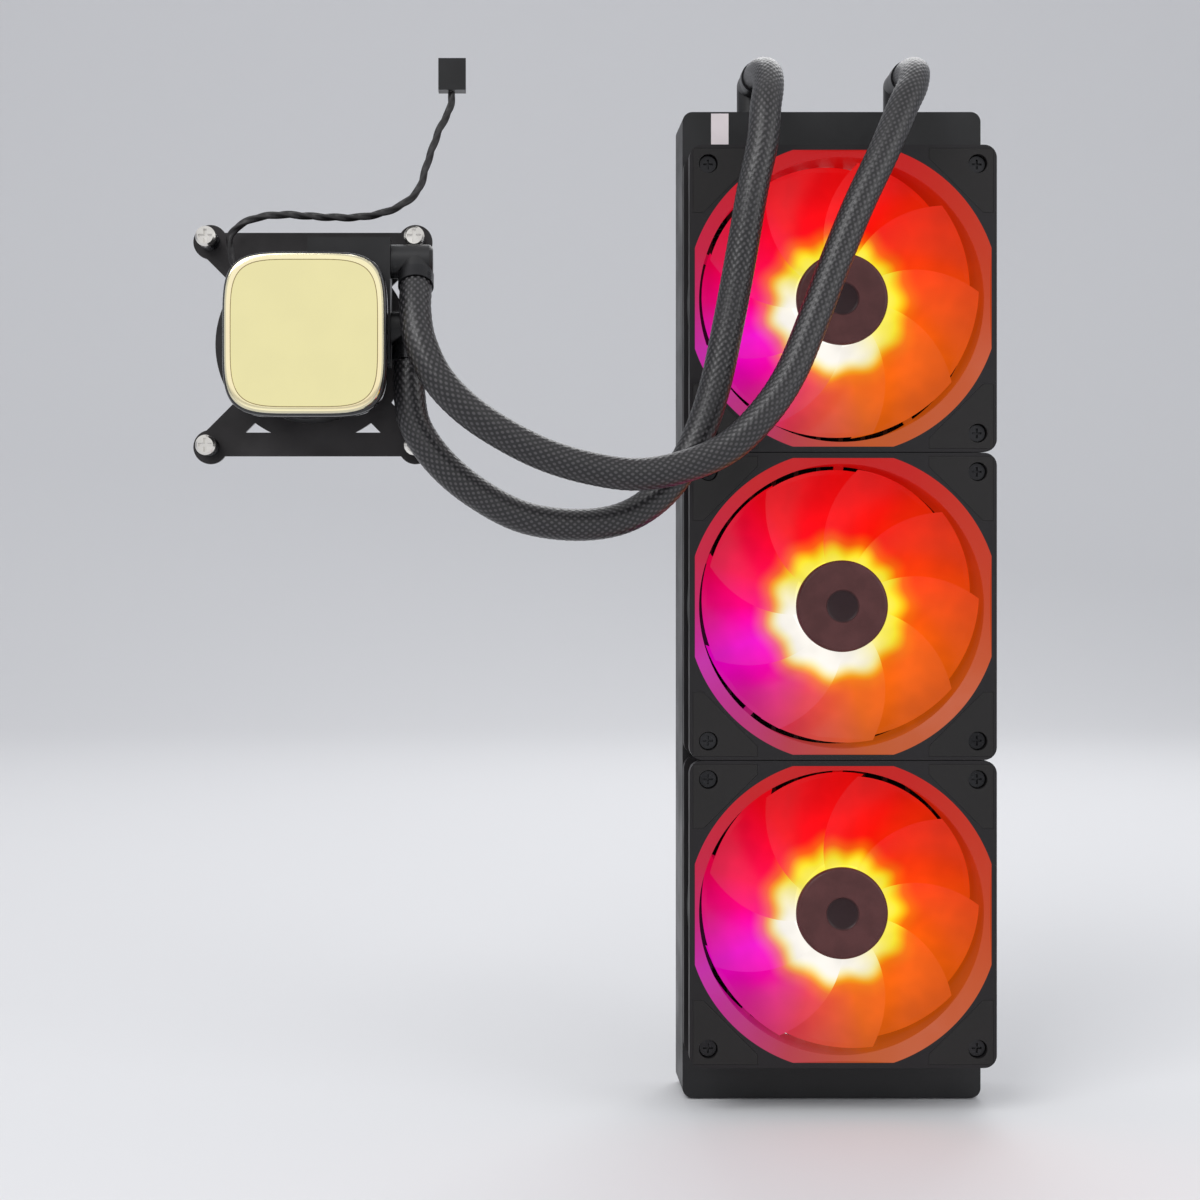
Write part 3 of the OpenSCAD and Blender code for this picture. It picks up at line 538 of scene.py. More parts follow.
@dataclass(frozen=True)
class FrameMoulding:
    """Black moulded fan frame whose bore and front lip catch the light of the blades.

    The lip is what lies inside both a circle and a square round the axis, near the front.
    """

    name: str
    centre: Point
    lip_radius: float = 61.0 * MM
    lip_half: float = 57.77 * MM
    lip_depth: float = 3.6 * MM
    lip_light: float = 0.5
    bore_radius: float = 56.6 * MM
    bore_light: float = 0.42
    edge: float = 0.05 * MM
    grain: float = 0.45 * MM
    grain_depth: float = 0.02 * MM
    cloud: float = 20 * MM
    colour: Colour = (0.008, 0.007, 0.008)

    def make(self) -> bpy.types.Material:
        """Write the material.

        Returns:
            The material.
        """
        n = NodeTree(self.name)
        x, y, z, radius, angle = n.polar(self.centre)
        ring = n.ramp(n.round_trip(angle), GLOW_RING)
        bore = n.fade(radius, self.bore_radius, self.bore_radius + 0.3 * MM, self.bore_light, 0.0)
        wide = n.sum("MAXIMUM", n.sum("ABSOLUTE", x), n.sum("ABSOLUTE", z))
        round_lip = n.fade(radius, self.lip_radius - self.edge, self.lip_radius + self.edge,
                           self.lip_light, 0.0)
        square_lip = n.fade(wide, self.lip_half - self.edge, self.lip_half + self.edge, 1.0, 0.0)
        shallow = n.fade(y, self.lip_depth, self.lip_depth + 0.4 * MM, 1.0, 0.0)
        lip = n.sum("MULTIPLY", n.sum("MULTIPLY", round_lip, square_lip), shallow)
        lit = n.sum("MAXIMUM", bore, lip)
        grain = n.noise(n.place(), 1 / self.grain, 3.0, 0.6)
        clouds = n.noise(n.place(), 1 / self.cloud, 3.0)
        n.shade(
            Base_Color=n.blend(clouds, self.colour, tuple(c * 1.5 for c in self.colour)),
            Roughness=n.fade(clouds, 0.3, 0.7, 0.42, 0.56),
            Specular_IOR_Level=0.3,
            Emission_Color=n.blend(lit, DARK, ring),
            Emission_Strength=1.0,
        )
        n.bump(grain, self.grain_depth)
        return n.material


@dataclass(frozen=True)
class Glass:
    """Mirror-backed glass with faint haze and a lit rim colour that drifts round it. The pump
    head's yellow glass colours are a painted reflection of warm room light.
    """

    name: str
    colour: Colour
    centre: Point
    roughness: float
    metallic: float = 1.0
    glow: float = 0.0
    haze: float = 18 * MM

    def make(self) -> bpy.types.Material:
        """Write the material.

        Returns:
            The material.
        """
        n = NodeTree(self.name)
        haze = n.noise(n.place(self.centre), 1 / self.haze, 3.0)
        *_, angle = n.polar(self.centre)
        tint = n.ramp(n.round_trip(angle), RIM_RING)
        shade = tuple(c * 0.98 for c in self.colour)
        n.shade(
            Base_Color=n.blend(n.fade(haze, 0.35, 0.65), shade, self.colour),
            Roughness=n.fade(haze, 0.3, 0.7, self.roughness, self.roughness + 0.03),
            Metallic=self.metallic,
            Coat_Weight=1.0,
            Coat_Roughness=0.02,
            Emission_Color=tint if self.glow else DARK,
            Emission_Strength=self.glow,
        )
        return n.material


# ------------------------------------------------------------------ shapes


@dataclass
class Shell:
    """A closed mesh gathered from grids of points, with one material index per grid."""

    points: list[np.ndarray] = field(default_factory=list)
    faces: list[np.ndarray] = field(default_factory=list)
    marks: list[np.ndarray] = field(default_factory=list)
    uvs: list[np.ndarray] = field(default_factory=list)
    count: int = 0

    def _put(self, corners: np.ndarray, uv: np.ndarray, mark: int) -> None:
        """Keep faces of one size.

        Args:
            corners: Point numbers of each face's corners.
            uv: UV of each corner.
            mark: Material index of the faces.
        """
        self.faces.append(corners)
        self.uvs.append(uv)
        self.marks.append(np.full(len(corners), mark))

    def grid(self, points: np.ndarray, ringed: bool = True, loop: bool = False,
             caps: bool = True, mark: int = 0) -> "Shell":
        """Add a surface from a grid of points, row after row.

        Args:
            points: Array of rows, columns and x, y, z.
            ringed: True joins each row's last column to its first.
            loop: True joins the last row to the first.
            caps: True closes the first and last row with a fan.
            mark: Material index of the faces.

        Returns:
            The shell itself.
        """
        rows, cols = points.shape[:2]
        i = np.arange(rows if loop else rows - 1)[:, None]
        j = np.arange(cols if ringed else cols - 1)[None, :]
        after_i, after_j = (i + 1) % rows, (j + 1) % cols
        quads = np.stack([i * cols + j, i * cols + after_j, after_i * cols + after_j,
                          after_i * cols + j], -1).reshape(-1, 4) + self.count
        u0, u1 = j / cols + 0 * i, (j + 1) / cols + 0 * i
        v0, v1 = i / rows + 0 * j, (i + 1) / rows + 0 * j
        uv = np.stack([np.stack([u0, v0], -1), np.stack([u1, v0], -1),
                       np.stack([u1, v1], -1), np.stack([u0, v1], -1)], -2)
        self.points.append(points.reshape(-1, 3))
        self._put(quads, uv.reshape(-1, 4, 2), mark)
        start = self.count
        self.count += rows * cols
        if caps and not loop:
            for row, turn in ((0, -1), (rows - 1, 1)):
                ring = start + row * cols + np.arange(cols)
                self.points.append(points[row].mean(0)[None])
                centre = np.full(cols, self.count)
                after = np.roll(ring, -1)
                tri = np.stack([ring, after, centre] if turn > 0 else [after, ring, centre], -1)
                self._put(tri, np.zeros((cols, 3, 2)), mark)
                self.count += 1
        return self

    def build(self, name: str, finishes: Sequence[bpy.types.Material],
              sharp: float = 35.0) -> bpy.types.Object:
        """Make the Blender object, with faces turned outwards.

        Args:
            name: The piece's name.
            finishes: Its materials, in the order of the marks.
            sharp: Edges that bend more than this many degrees stay sharp.

        Returns:
            The object.
        """
        mesh = bpy.data.meshes.new(name)
        sizes = np.concatenate([np.full(len(f), f.shape[1]) for f in self.faces])
        corners = np.concatenate([f.ravel() for f in self.faces]).astype(np.int32)
        points = np.concatenate(self.points).astype(np.float32)
        mesh.vertices.add(len(points))
        mesh.vertices.foreach_set("co", points.ravel())
        mesh.loops.add(len(corners))
        mesh.loops.foreach_set("vertex_index", corners)
        mesh.polygons.add(len(sizes))
        mesh.polygons.foreach_set("loop_start", np.concatenate([[0], np.cumsum(sizes)[:-1]])
                                  .astype(np.int32))
        mesh.polygons.foreach_set("material_index", np.concatenate(self.marks).astype(np.int32))
        layer = mesh.uv_layers.new(name="Surface")
        layer.data.foreach_set("uv", np.concatenate([u.reshape(-1, 2) for u in self.uvs])
                               .astype(np.float32).ravel())
        for finish in finishes:
            mesh.materials.append(finish)
        mesh.update(calc_edges=True)
        shape = bmesh.new()
        shape.from_mesh(mesh)
        bmesh.ops.remove_doubles(shape, verts=shape.verts, dist=1e-7)
        bmesh.ops.recalc_face_normals(shape, faces=shape.faces)
        limit = math.radians(sharp)
        for edge in shape.edges:
            edge.smooth = len(edge.link_faces) != 2 or edge.calc_face_angle(0.0) < limit
        for face in shape.faces:
            face.smooth = True
        shape.to_mesh(mesh)
        shape.free()
        piece = bpy.data.objects.new(name, mesh)
        bpy.context.scene.collection.objects.link(piece)
        return piece


def turned(profile: Sequence[tuple[float, float]], centre: Point, sides: int = 96) -> np.ndarray:
    """Turn a profile round an axis along Y.

    Each profile point (r, w) becomes a circle of radius r, at the distance w in front
    of the centre, that is at y = centre.y - w.

    Args:
        profile: Radius and forward distance of each ring, in metres.
        centre: A point on the axis.
        sides: Points on each ring.

    Returns:
        Points as rows, columns and x, y, z.
    """
    r, w = np.array(profile, float).T
    a = np.linspace(0, math.tau, sides, endpoint=False)[None, :]
    return np.stack([centre[0] + r[:, None] * np.cos(a), centre[1] - w[:, None] + 0 * a,
                     centre[2] + r[:, None] * np.sin(a)], -1)


def squircle(half: float, power: float, sides: int = 160) -> np.ndarray:
    """A square with bowed sides and round corners: |x|^p + |z|^p = half^p.

    Args:
        half: Half its width.
        power: The power p; a higher one gives straighter sides.
        sides: Points round it.

    Returns:
        Points as x, z pairs.
    """
    a = np.linspace(0, math.tau, sides, endpoint=False)
    r = half / (np.abs(np.cos(a)) ** power + np.abs(np.sin(a)) ** power) ** (1 / power)
    return np.stack([r * np.cos(a), r * np.sin(a)], -1)


def smooth_path(points: Sequence[Sequence[float]], parts: int) -> np.ndarray:
    """Fill in a Catmull-Rom curve through given points, as the solid's own route does.

    Between two points b and c, with a before and d after them, the place at the share f
    is half of 2b + f(c - a) + f^2(2a - 5b + 4c - d) + f^3(3b - a - 3c + d).

    Args:
        points: The points that it passes through.
        parts: Steps between two of them.

    Returns:
        Points as rows of x, y, z.
    """
    p = np.array(points, float)
    p = np.vstack([2 * p[0] - p[1], p, 2 * p[-1] - p[-2]])
    f = (np.arange(parts) / parts)[None, :, None]
    a, b, c, d = (p[k:len(p) - 3 + k, None] for k in range(4))
    curve = 0.5 * (2 * b + f * (c - a) + f ** 2 * (2 * a - 5 * b + 4 * c - d)
                   + f ** 3 * (3 * b - a - 3 * c + d))
    return np.vstack([curve.reshape(-1, 3), p[-2]])


def evenly(path: np.ndarray, count: int) -> np.ndarray:
    """Space points evenly by length along a path.

    Args:
        path: The path's points.
        count: How many points to give.

    Returns:
        Points as rows of x, y, z.
    """
    along = np.concatenate([[0], np.cumsum(np.linalg.norm(np.diff(path, axis=0), axis=1))])
    at = np.linspace(0, along[-1], count)
    return np.stack([np.interp(at, along, path[:, k]) for k in range(3)], -1)


def path_length(path: np.ndarray) -> float:
    """Length of a path."""
    return float(np.linalg.norm(np.diff(path, axis=0), axis=1).sum())


def carried_frames(path: np.ndarray) -> tuple[np.ndarray, np.ndarray]:
    """Two side directions at each point of a path, turning as little as they can.

    Each point's side is the one before it with its part along the path taken out.

    Args:
        path: The path's points.

    Returns:
        The side directions and the directions square to them.
    """
    tangent = np.gradient(path, axis=0)
    tangent /= np.linalg.norm(tangent, axis=1)[:, None]
    side = np.cross(tangent[0], (1.0, 0.0, 0.0))
    sides = []
    for t in tangent:
        side = side - t * (side @ t)
        side = side / np.linalg.norm(side)
        sides.append(side)
    sides = np.array(sides)
    return sides, np.cross(tangent, sides)


def tube(path: np.ndarray, radius: np.ndarray, angles: np.ndarray) -> np.ndarray:
    """Carry a section along a path: each ring's points stand off it by radius, at each angle.

    Args:
        path: The path's points.
        radius: One distance for each ring and angle.
        angles: Angles round the path.

    Returns:
        Points as rows, columns and x, y, z.
    """
    n, b = carried_frames(path)
    turn = angles[None, :, None]
    return (path[:, None] + radius[..., None] * (np.cos(turn) * n[:, None]
                                                 + np.sin(turn) * b[:, None]))


# ------------------------------------------------------------------ the cooler


class Material(Enum):
    """Finishes that CAD nodes take, by what they are made of."""

    RADIATOR = Coating("radiator_paint", (0.013, 0.013, 0.014), 0.42, grain=0.7 * MM)
    CORE = Coating("core_paint", (0.016, 0.015, 0.016), 0.5)
    FITTING = Coating("fitting_plastic", (0.011, 0.011, 0.012), 0.36, grain=0.35 * MM)
    FERRULE = Coating("ferrule_paint", (0.022, 0.022, 0.024), 0.3, metallic=0.6)
    LABEL = Coating("label_paper", (0.86, 0.78, 0.79), 0.6, variation=0.06)
    COPPER_WIRE = BareMetal("copper_wire", (0.80, 0.36, 0.16), 0.3)
    BOARD = Coating("circuit_board", (0.015, 0.075, 0.04), 0.35, coat=0.4)
    BRONZE = BareMetal("bearing_bronze", (0.62, 0.42, 0.20), 0.35)
    RUBBER = Coating("pad_rubber", (0.011, 0.010, 0.010), 0.68, grain=0.3 * MM)
    BLACK_SCREW = Coating("black_screw", (0.03, 0.03, 0.032), 0.3, metallic=0.8)
    COLD_PLATE = BareMetal("cold_plate_copper", (0.93, 0.52, 0.34), 0.18,
                           lines=(60.0, 60.0, 1800.0))
    STEEL = BareMetal("screw_steel", (0.62, 0.62, 0.64), 0.28)
    HOUSING = Coating("housing_moulding", (0.011, 0.011, 0.012), 0.4, grain=0.4 * MM)
    VOLUTE = Coating("volute_plastic", (0.66, 0.62, 0.54), 0.5, variation=0.08)
    CERAMIC = Coating("ceramic_pin", (0.82, 0.80, 0.75), 0.2, variation=0.05)
    ROTOR = Coating("rotor_plastic", (0.05, 0.052, 0.058), 0.4)
    BRACKET = Coating("bracket_paint", (0.030, 0.028, 0.029), 0.36, grain=0.6 * MM, metallic=0.5)
    CABLE = Coating("cable_jacket", (0.014, 0.013, 0.014), 0.45)
    MAGNET = Coating("magnet_ferrite", (0.10, 0.10, 0.105), 0.6)
    SHAFT = BareMetal("shaft_steel", (0.72, 0.72, 0.74), 0.14)
    LAMINATION = BareMetal("stator_steel", (0.36, 0.36, 0.38), 0.4, lines=(40.0, 2500.0, 40.0))
    NICKEL = BareMetal("nickel_plate", (0.86, 0.84, 0.80), 0.16, lines=(600.0, 40.0, 600.0))
    SPRING = Coating("spring_black", (0.022, 0.022, 0.024), 0.28, metallic=0.7)


SLOT_FINISHES: dict[str, Material] = {
    "radiator_black": Material.RADIATOR, "core_black": Material.CORE,
    "fitting_black": Material.FITTING, "ferrule_black": Material.FERRULE,
    "label_paper": Material.LABEL, "copper_wire": Material.COPPER_WIRE,
    "circuit_board": Material.BOARD, "bearing_bronze": Material.BRONZE,
    "pad_rubber": Material.RUBBER, "black_screw": Material.BLACK_SCREW,
    "cold_plate_copper": Material.COLD_PLATE, "steel_screw": Material.STEEL,
    "housing_black": Material.HOUSING, "volute_plastic": Material.VOLUTE,
    "ceramic_pin": Material.CERAMIC, "rotor_plastic": Material.ROTOR,
    "bracket_steel": Material.BRACKET, "cable_black": Material.CABLE,
    "magnet_grey": Material.MAGNET, "shaft_steel": Material.SHAFT,
    "stator_steel": Material.LAMINATION, "bright_screw": Material.NICKEL,
    "spring_black": Material.SPRING,
}


class Wardrobe:
    """Makes each finish once and dresses the CAD nodes with them."""

    def __init__(self) -> None:
        """Start with no finish made."""
        self.made: dict[str, bpy.types.Material] = {}

    def get(self, material: Material) -> bpy.types.Material:
        """Give a finish's Blender material, making it the first time.

        Args:
            material: The finish.

        Returns:
            The Blender material.
        """
        if material.name not in self.made:
            self.made[material.name] = material.value.make()
        return self.made[material.name]

    def dress(self, node: str, material: bpy.types.Material) -> None:
        """Assign one material to every slot of a CAD node.

        Args:
            node: The CAD node's name.
            material: The Blender material.
        """
        slots = frame["nodes"][node].data.materials
        if not slots:
            slots.append(material)
        for k in range(len(slots)):
            slots[k] = material

    def dress_all(self) -> None:
        """Give every CAD node the finish of its slot."""
        for part in frame["record"]["subparts"]:
            material = SLOT_FINISHES.get(part["material_slot"])
            if material is not None:
                self.dress(part["node"], self.get(material))


def centre_of(node: str) -> Point:
    """Middle of a CAD node's box."""
    low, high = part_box(node)
    return tuple((low + high) / 2)


@dataclass
class Radiator:
    """The finned core between the tanks."""

    wardrobe: Wardrobe
    tubes: int = 12
    tube_width: float = 1.8 * MM
    fin_pitch: float = 2.4 * MM
    fin_metal: float = 0.14 * MM
    louvre: float = 0.1 * MM
    chevron: float = 2.7 * MM

    def build(self) -> None:
        """Make the fine fins that stand for the coarse CAD strips."""
        low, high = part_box("core_fins")
        tubes_low, tubes_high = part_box("core_tubes")
        step = (tubes_high.x - tubes_low.x - self.tube_width) / (self.tubes - 1)
        first = tubes_low.x + self.tube_width / 2 - step / 2
        width = step - self.tube_width - self.louvre
        folds = int((high.z - low.z) / self.fin_pitch)
        shell = Shell()
        for k in range(self.tubes + 1):
            shell.grid(self.strip(first + k * step, width, folds, low, high))
        fins = shell.build("core_fins_fine", [self.wardrobe.get(Material.CORE)], 20.0)
        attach(fins, "root")
        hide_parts("core_fins")

    def strip(self, x: float, width: float, folds: int, low: Vector, high: Vector) -> np.ndarray:
        """One folded strip: x swings from side to side as z climbs, as deep as the core.

        Every fold also rises to the middle of the core and falls again behind it, so the
        channels bend and nothing behind the core is seen between the fins.

        Args:
            x: Middle of the strip.
            width: Its width between two tubes.
            folds: Number of whole folds.
            low: Lowest corner of the CAD fins.
            high: Highest corner of the CAD fins.

        Returns:
            Grid of sections, each a thin six-cornered cut through the strip.
        """
        steps = np.arange(2 * folds + 1)
        swing = np.where(steps % 2 == 0, -1.0, 1.0) * (width - self.fin_metal) / 2
        z = np.linspace(low.z, high.z - self.chevron, len(steps))
        half, middle = self.fin_metal / 2, (low.y + high.y) / 2
        depths = [(low.y, 0.0), (middle, self.chevron), (high.y, 0.0)]
        corners = [(-half, *d) for d in depths] + [(half, *d) for d in reversed(depths)]
        return np.stack([np.stack([x + swing + dx, y + 0 * z, z + rise], -1)
                         for dx, y, rise in corners], 1)


@dataclass
class Fan:
    """One lit fan's hub and blades, which turn together in the CAD frame."""

    place: str
    sleeve_wall: float = 1.55 * MM
    blades: int = 9
    tip_gap: float = 0.2 * MM
    blade_twist: float = math.radians(46.0)
    root_twist: float = math.radians(14.0)
    blade_sweep: float = math.radians(20.0)
    blade_thickness: float = 1.7 * MM
    camber: float = math.radians(3.0)
    dimple: float = 6.5 * MM
    shoulder: float = 1.6 * MM
    crown_depth: float = 2.6 * MM

    def build(self) -> None:
        """Make the hub and the blades in place of the plain CAD impeller."""
        node = f"fan_{self.place}_impeller"
        low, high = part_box(node)
        ring_low, ring_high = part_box(f"fan_{self.place}_magnet_ring")
        centre = ((low.x + high.x) / 2, high.y, (low.z + high.z) / 2)
        hub = (ring_high.x - ring_low.x) / 2 + self.sleeve_wall
        tip = (high.x - low.x) / 2 - self.tip_gap
        front, back = high.y - low.y, high.y - ring_high.y - 1.5 * MM
        hub_finish = HubCap(f"hub_cap_{self.place}", centre).make()
        cap = Shell().grid(turned(self.crown_profile(hub, front), centre))
        cap_piece = cap.build(f"fan_{self.place}_hub_cap", [hub_finish])
        lit = LitPlastic(f"blade_glow_{self.place}", centre, hub).make()
        shell = Shell()
        shell.grid(turned(self.sleeve_profile(hub, back, front), centre), loop=True)
        for k in range(self.blades):
            shell.grid(self.blade(math.tau * k / self.blades, hub, tip, centre, front))
        blades = shell.build(f"fan_{self.place}_blades", [lit], 50.0)
        for piece in (cap_piece, blades):
            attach(piece, f"fan_{self.place}_rotor")
        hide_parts(node)

    def crown_profile(self, radius: float, front: float) -> list[tuple[float, float]]:
        """Outline of the hub's dark crown: a dimple, a flat face and a rounded shoulder.

        Args:
            radius: Outer radius of the hub.
            front: Forward distance of its crown.

        Returns:
            Radius and forward distance of each ring, from the front's middle round to
            the back's middle.
        """
        dimple, edge, back = self.dimple, self.shoulder, front - self.crown_depth
        bend = [(radius - edge + edge * math.sin(t), front - 0.25 * MM - edge + edge * math.cos(t))
                for t in np.linspace(0, math.pi / 2, 7)]
        return [(0.05 * MM, front - 0.85 * MM), (dimple - 1.2 * MM, front - 0.8 * MM),
                (dimple - 0.3 * MM, front - 0.45 * MM), (dimple, front - 0.02 * MM),
                (dimple + 0.8 * MM, front), (radius * 0.7, front - 0.08 * MM), *bend,
                (radius, back), (radius - 1.2 * MM, back), (0.05 * MM, back)]

    @staticmethod
    def sleeve_profile(radius: float, back: float, front: float) -> list[tuple[float, float]]:
        """Outline of the milky sleeve behind the crown that carries the blades."""
        outer, inner, top = radius - 0.12 * MM, radius - 1.4 * MM, front - 2.5 * MM
        return [(outer, top), (outer, back), (inner, back), (inner, top)]

    def blade(self, start: float, hub: float, tip: float, centre: Point,
              front: float) -> np.ndarray:
        """One blade as sections from root to tip.

        Each section is a thin closed outline: it runs from the back edge to the front
        edge on one face and returns on the other, and its thickness is the sine of the
        way along. The blade winds round the axis as it rises and leans back with radius.

        Args:
            start: Angle of the blade's back edge at the hub.
            hub: Hub radius.
            tip: Blade tip radius.
            centre: Middle of the rotor's back plane.
            front: Depth of the whole rotor.

        Returns:
            Points as rows, columns and x, y, z.
        """
        radii = np.linspace(hub - 0.5 * MM, tip, 16)[:, None]
        way = np.concatenate([np.linspace(0, 1, 14), np.linspace(1, 0, 14)[1:-1]])[None, :]
        face = np.concatenate([np.ones(14), -np.ones(12)])[None, :]
        out = np.clip((radii - hub) / (tip - hub), 0.0, 1.0)
        bulge = np.sin(np.pi * np.clip(way, 0.03, 0.97)) ** 0.6
        thick = self.blade_thickness * (1 - 0.35 * out) * bulge
        height = 0.6 * MM + (front - 3.4 * MM) * (way + 0.06 * np.sin(np.pi * way))
        twist = self.blade_twist + self.root_twist * (1 - out) ** 2
        angle = (start + twist * (way - 0.5) - self.blade_sweep * out ** 1.6
                 + self.camber * np.sin(np.pi * way) + face * thick / 2 / radii)
        return np.stack([centre[0] + radii * np.cos(angle), centre[1] - height + 0 * radii,
                         centre[2] + radii * np.sin(angle)], -1)


@dataclass
class Hose:
    """A braided hose along its listed route."""

    name: str
    route: tuple[Point, ...]
    swivel: str
    diameter: float = 12 * MM
    relief: float = 0.22 * MM
    carriers: int = 16
    pick: float = 3.1 * MM
    step: float = 0.62 * MM
    sides: int = 96
    bend_from: float = 16 * MM
    bend_to: float = 5 * MM
    bend_along: Point = (-0.8, 0.0, 0.6)

    def build(self, finish: bpy.types.Material) -> None:
        """The relief is the size of the sine of u + v times the sine of u - v, where u counts
        the carriers round the hose and v the picks along it.

        Args:
            finish: The braid's material.
        """
        path = smooth_path(self.route, 24)
        length = path_length(path)
        path = evenly(path, int(length / self.step))
        angles = np.linspace(0, math.tau, self.sides, endpoint=False)
        u = angles[None, :] / math.tau * self.carriers
        v = np.linspace(0, length / self.pick, len(path))[:, None]
        over = np.sin(np.pi * (u + v)) * np.sin(np.pi * (u - v))
        radius = self.diameter / 2 - self.relief + self.relief * np.abs(over) ** 0.7
        shell = Shell().grid(tube(path, radius, angles))
        hose = shell.build(f"{self.name}_braid", [finish], 60.0)
        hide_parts(self.name)
        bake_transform(hose)
        LOG.info("%s: %.3f m", self.name, length)


PORT_Y = -85 * MM
OUTLET_REACH = 12.7 * MM
RADIATOR_END: Point = (30 * MM, -29.2 * MM, 212 * MM)


def hose_start(reach: float, height: float, tilt: float) -> tuple[np.ndarray, np.ndarray]:
    """Where a hose leaves its swivel elbow, and its direction there.

    Args:
        reach: How far the elbow stands to the right of the head's axis.
        height: The port's height above the head's centre.
        tilt: How far the outlet leans towards the front, in degrees.

    Returns:
        The start point and the unit direction.
    """
    head = np.array(centre_of("cold_plate"))
    port = np.array([head[0] + reach, PORT_Y, head[2] + height])
    lean = math.radians(tilt)
    direction = np.array([0.0, -math.sin(lean), -math.cos(lean)])
    return port + OUTLET_REACH * direction, direction


def full_route(reach: float, height: float, tilt: float, middle: Sequence[Point],
               side: int) -> tuple[Point, ...]:
    """A hose's whole route, from its swivel elbow through set points to the radiator's elbow.

    Args:
        reach: As in hose_start.
        height: As in hose_start.
        tilt: As in hose_start.
        middle: The set points, in millimetres.
        side: 1 for the right radiator elbow, -1 for the left.

    Returns:
        The points in metres.
    """
    start, direction = hose_start(reach, height, tilt)
    end = np.array([side, 1, 1]) * RADIATOR_END
    near_end = end - np.array([0.0, 4 * MM, 0.0])
    points = [start, start + 12 * MM * direction, *(np.array(p) * MM for p in middle),
              near_end, end]
    return tuple(tuple(float(c) for c in p) for p in points)


# Set points of the hoses and the lead, in millimetres, in the order of their routes.
UPPER_MIDDLE: tuple[Point, ...] = (
    (-163, -104, 97), (-157, -107, 84), (-147, -108, 73), (-134, -107, 64), (-118, -106, 56),
    (-101, -105, 51), (-84, -103, 49), (-67, -101, 52), (-51, -99, 59), (-38, -97, 71),
    (-27, -94, 87), (-17, -90, 110), (-9, -87, 130), (0, -84, 151), (10, -79, 171),
    (19, -71, 190), (24, -64, 199), (27, -55, 206), (29, -44, 210),
)
LOWER_MIDDLE: tuple[Point, ...] = (
    (-165, -89, 67), (-156, -90, 54), (-143, -90, 43), (-126, -90, 34), (-107, -88, 31),
    (-90, -86, 33), (-77, -84, 40), (-67, -82, 51), (-59, -80, 66), (-53, -79, 84),
    (-48, -78, 107), (-43, -78, 134), (-39, -78, 157), (-35, -76, 175), (-33, -71, 190),
    (-31, -64, 199), (-30, -55, 206), (-30, -44, 210),
)
CABLE_MIDDLE: tuple[Point, ...] = (
    (-235, -80, 139), (-228, -81, 145), (-216, -82, 147), (-200, -83, 146), (-186, -83, 146),
    (-174, -82, 149), (-165, -80, 156), (-161, -77, 168), (-157, -74, 180), (-153, -71, 189),
)


@dataclass
class PumpCable:
    """Thin three-core lead from the pump housing to its plug."""

    diameter: float = 3 * MM
    cores: int = 3
    lobe: float = 0.14
    twist_pitch: float = 26 * MM
    exit_y: float = -80 * MM
    exit_reach: float = 35 * MM
    gap: float = 0.3 * MM

    def build(self, finish: bpy.types.Material) -> None:
        """The section's radius is a cosine with one lobe for each core, turned on by a full
        turn with every twist pitch along the lead.

        Args:
            finish: The jacket's material.
        """
        head = np.array(centre_of("cold_plate"))
        out = np.array([-math.sqrt(0.5), 0.0, math.sqrt(0.5)])
        tip = np.array([head[0], self.exit_y, head[2]]) + self.exit_reach * out
        plug_low, plug_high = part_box("cable_plug")
        plug = np.array([(plug_low.x + plug_high.x) / 2, (plug_low.y + plug_high.y) / 2,
                         plug_low.z - self.gap])
        route = [tip + self.gap * out, tip + 5 * MM * out,
                 *(np.array(p) * MM for p in CABLE_MIDDLE), plug]
        path = smooth_path(route, 20)
        length = path_length(path)
        path = evenly(path, 360)
        angles = np.linspace(0, math.tau, 30, endpoint=False)
        turn = np.linspace(0, length / self.twist_pitch * math.tau, len(path))[:, None]
        lobes = np.cos(self.cores * (angles[None, :] - turn))
        radius = self.diameter / 2 * (1 - self.lobe + self.lobe * lobes)
        cable = Shell().grid(tube(path, radius, angles)).build("pump_cable_lead", [finish], 60.0)
        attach(cable, "root")
        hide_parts("pump_cable")
        LOG.info("pump cable: %.3f m", length)


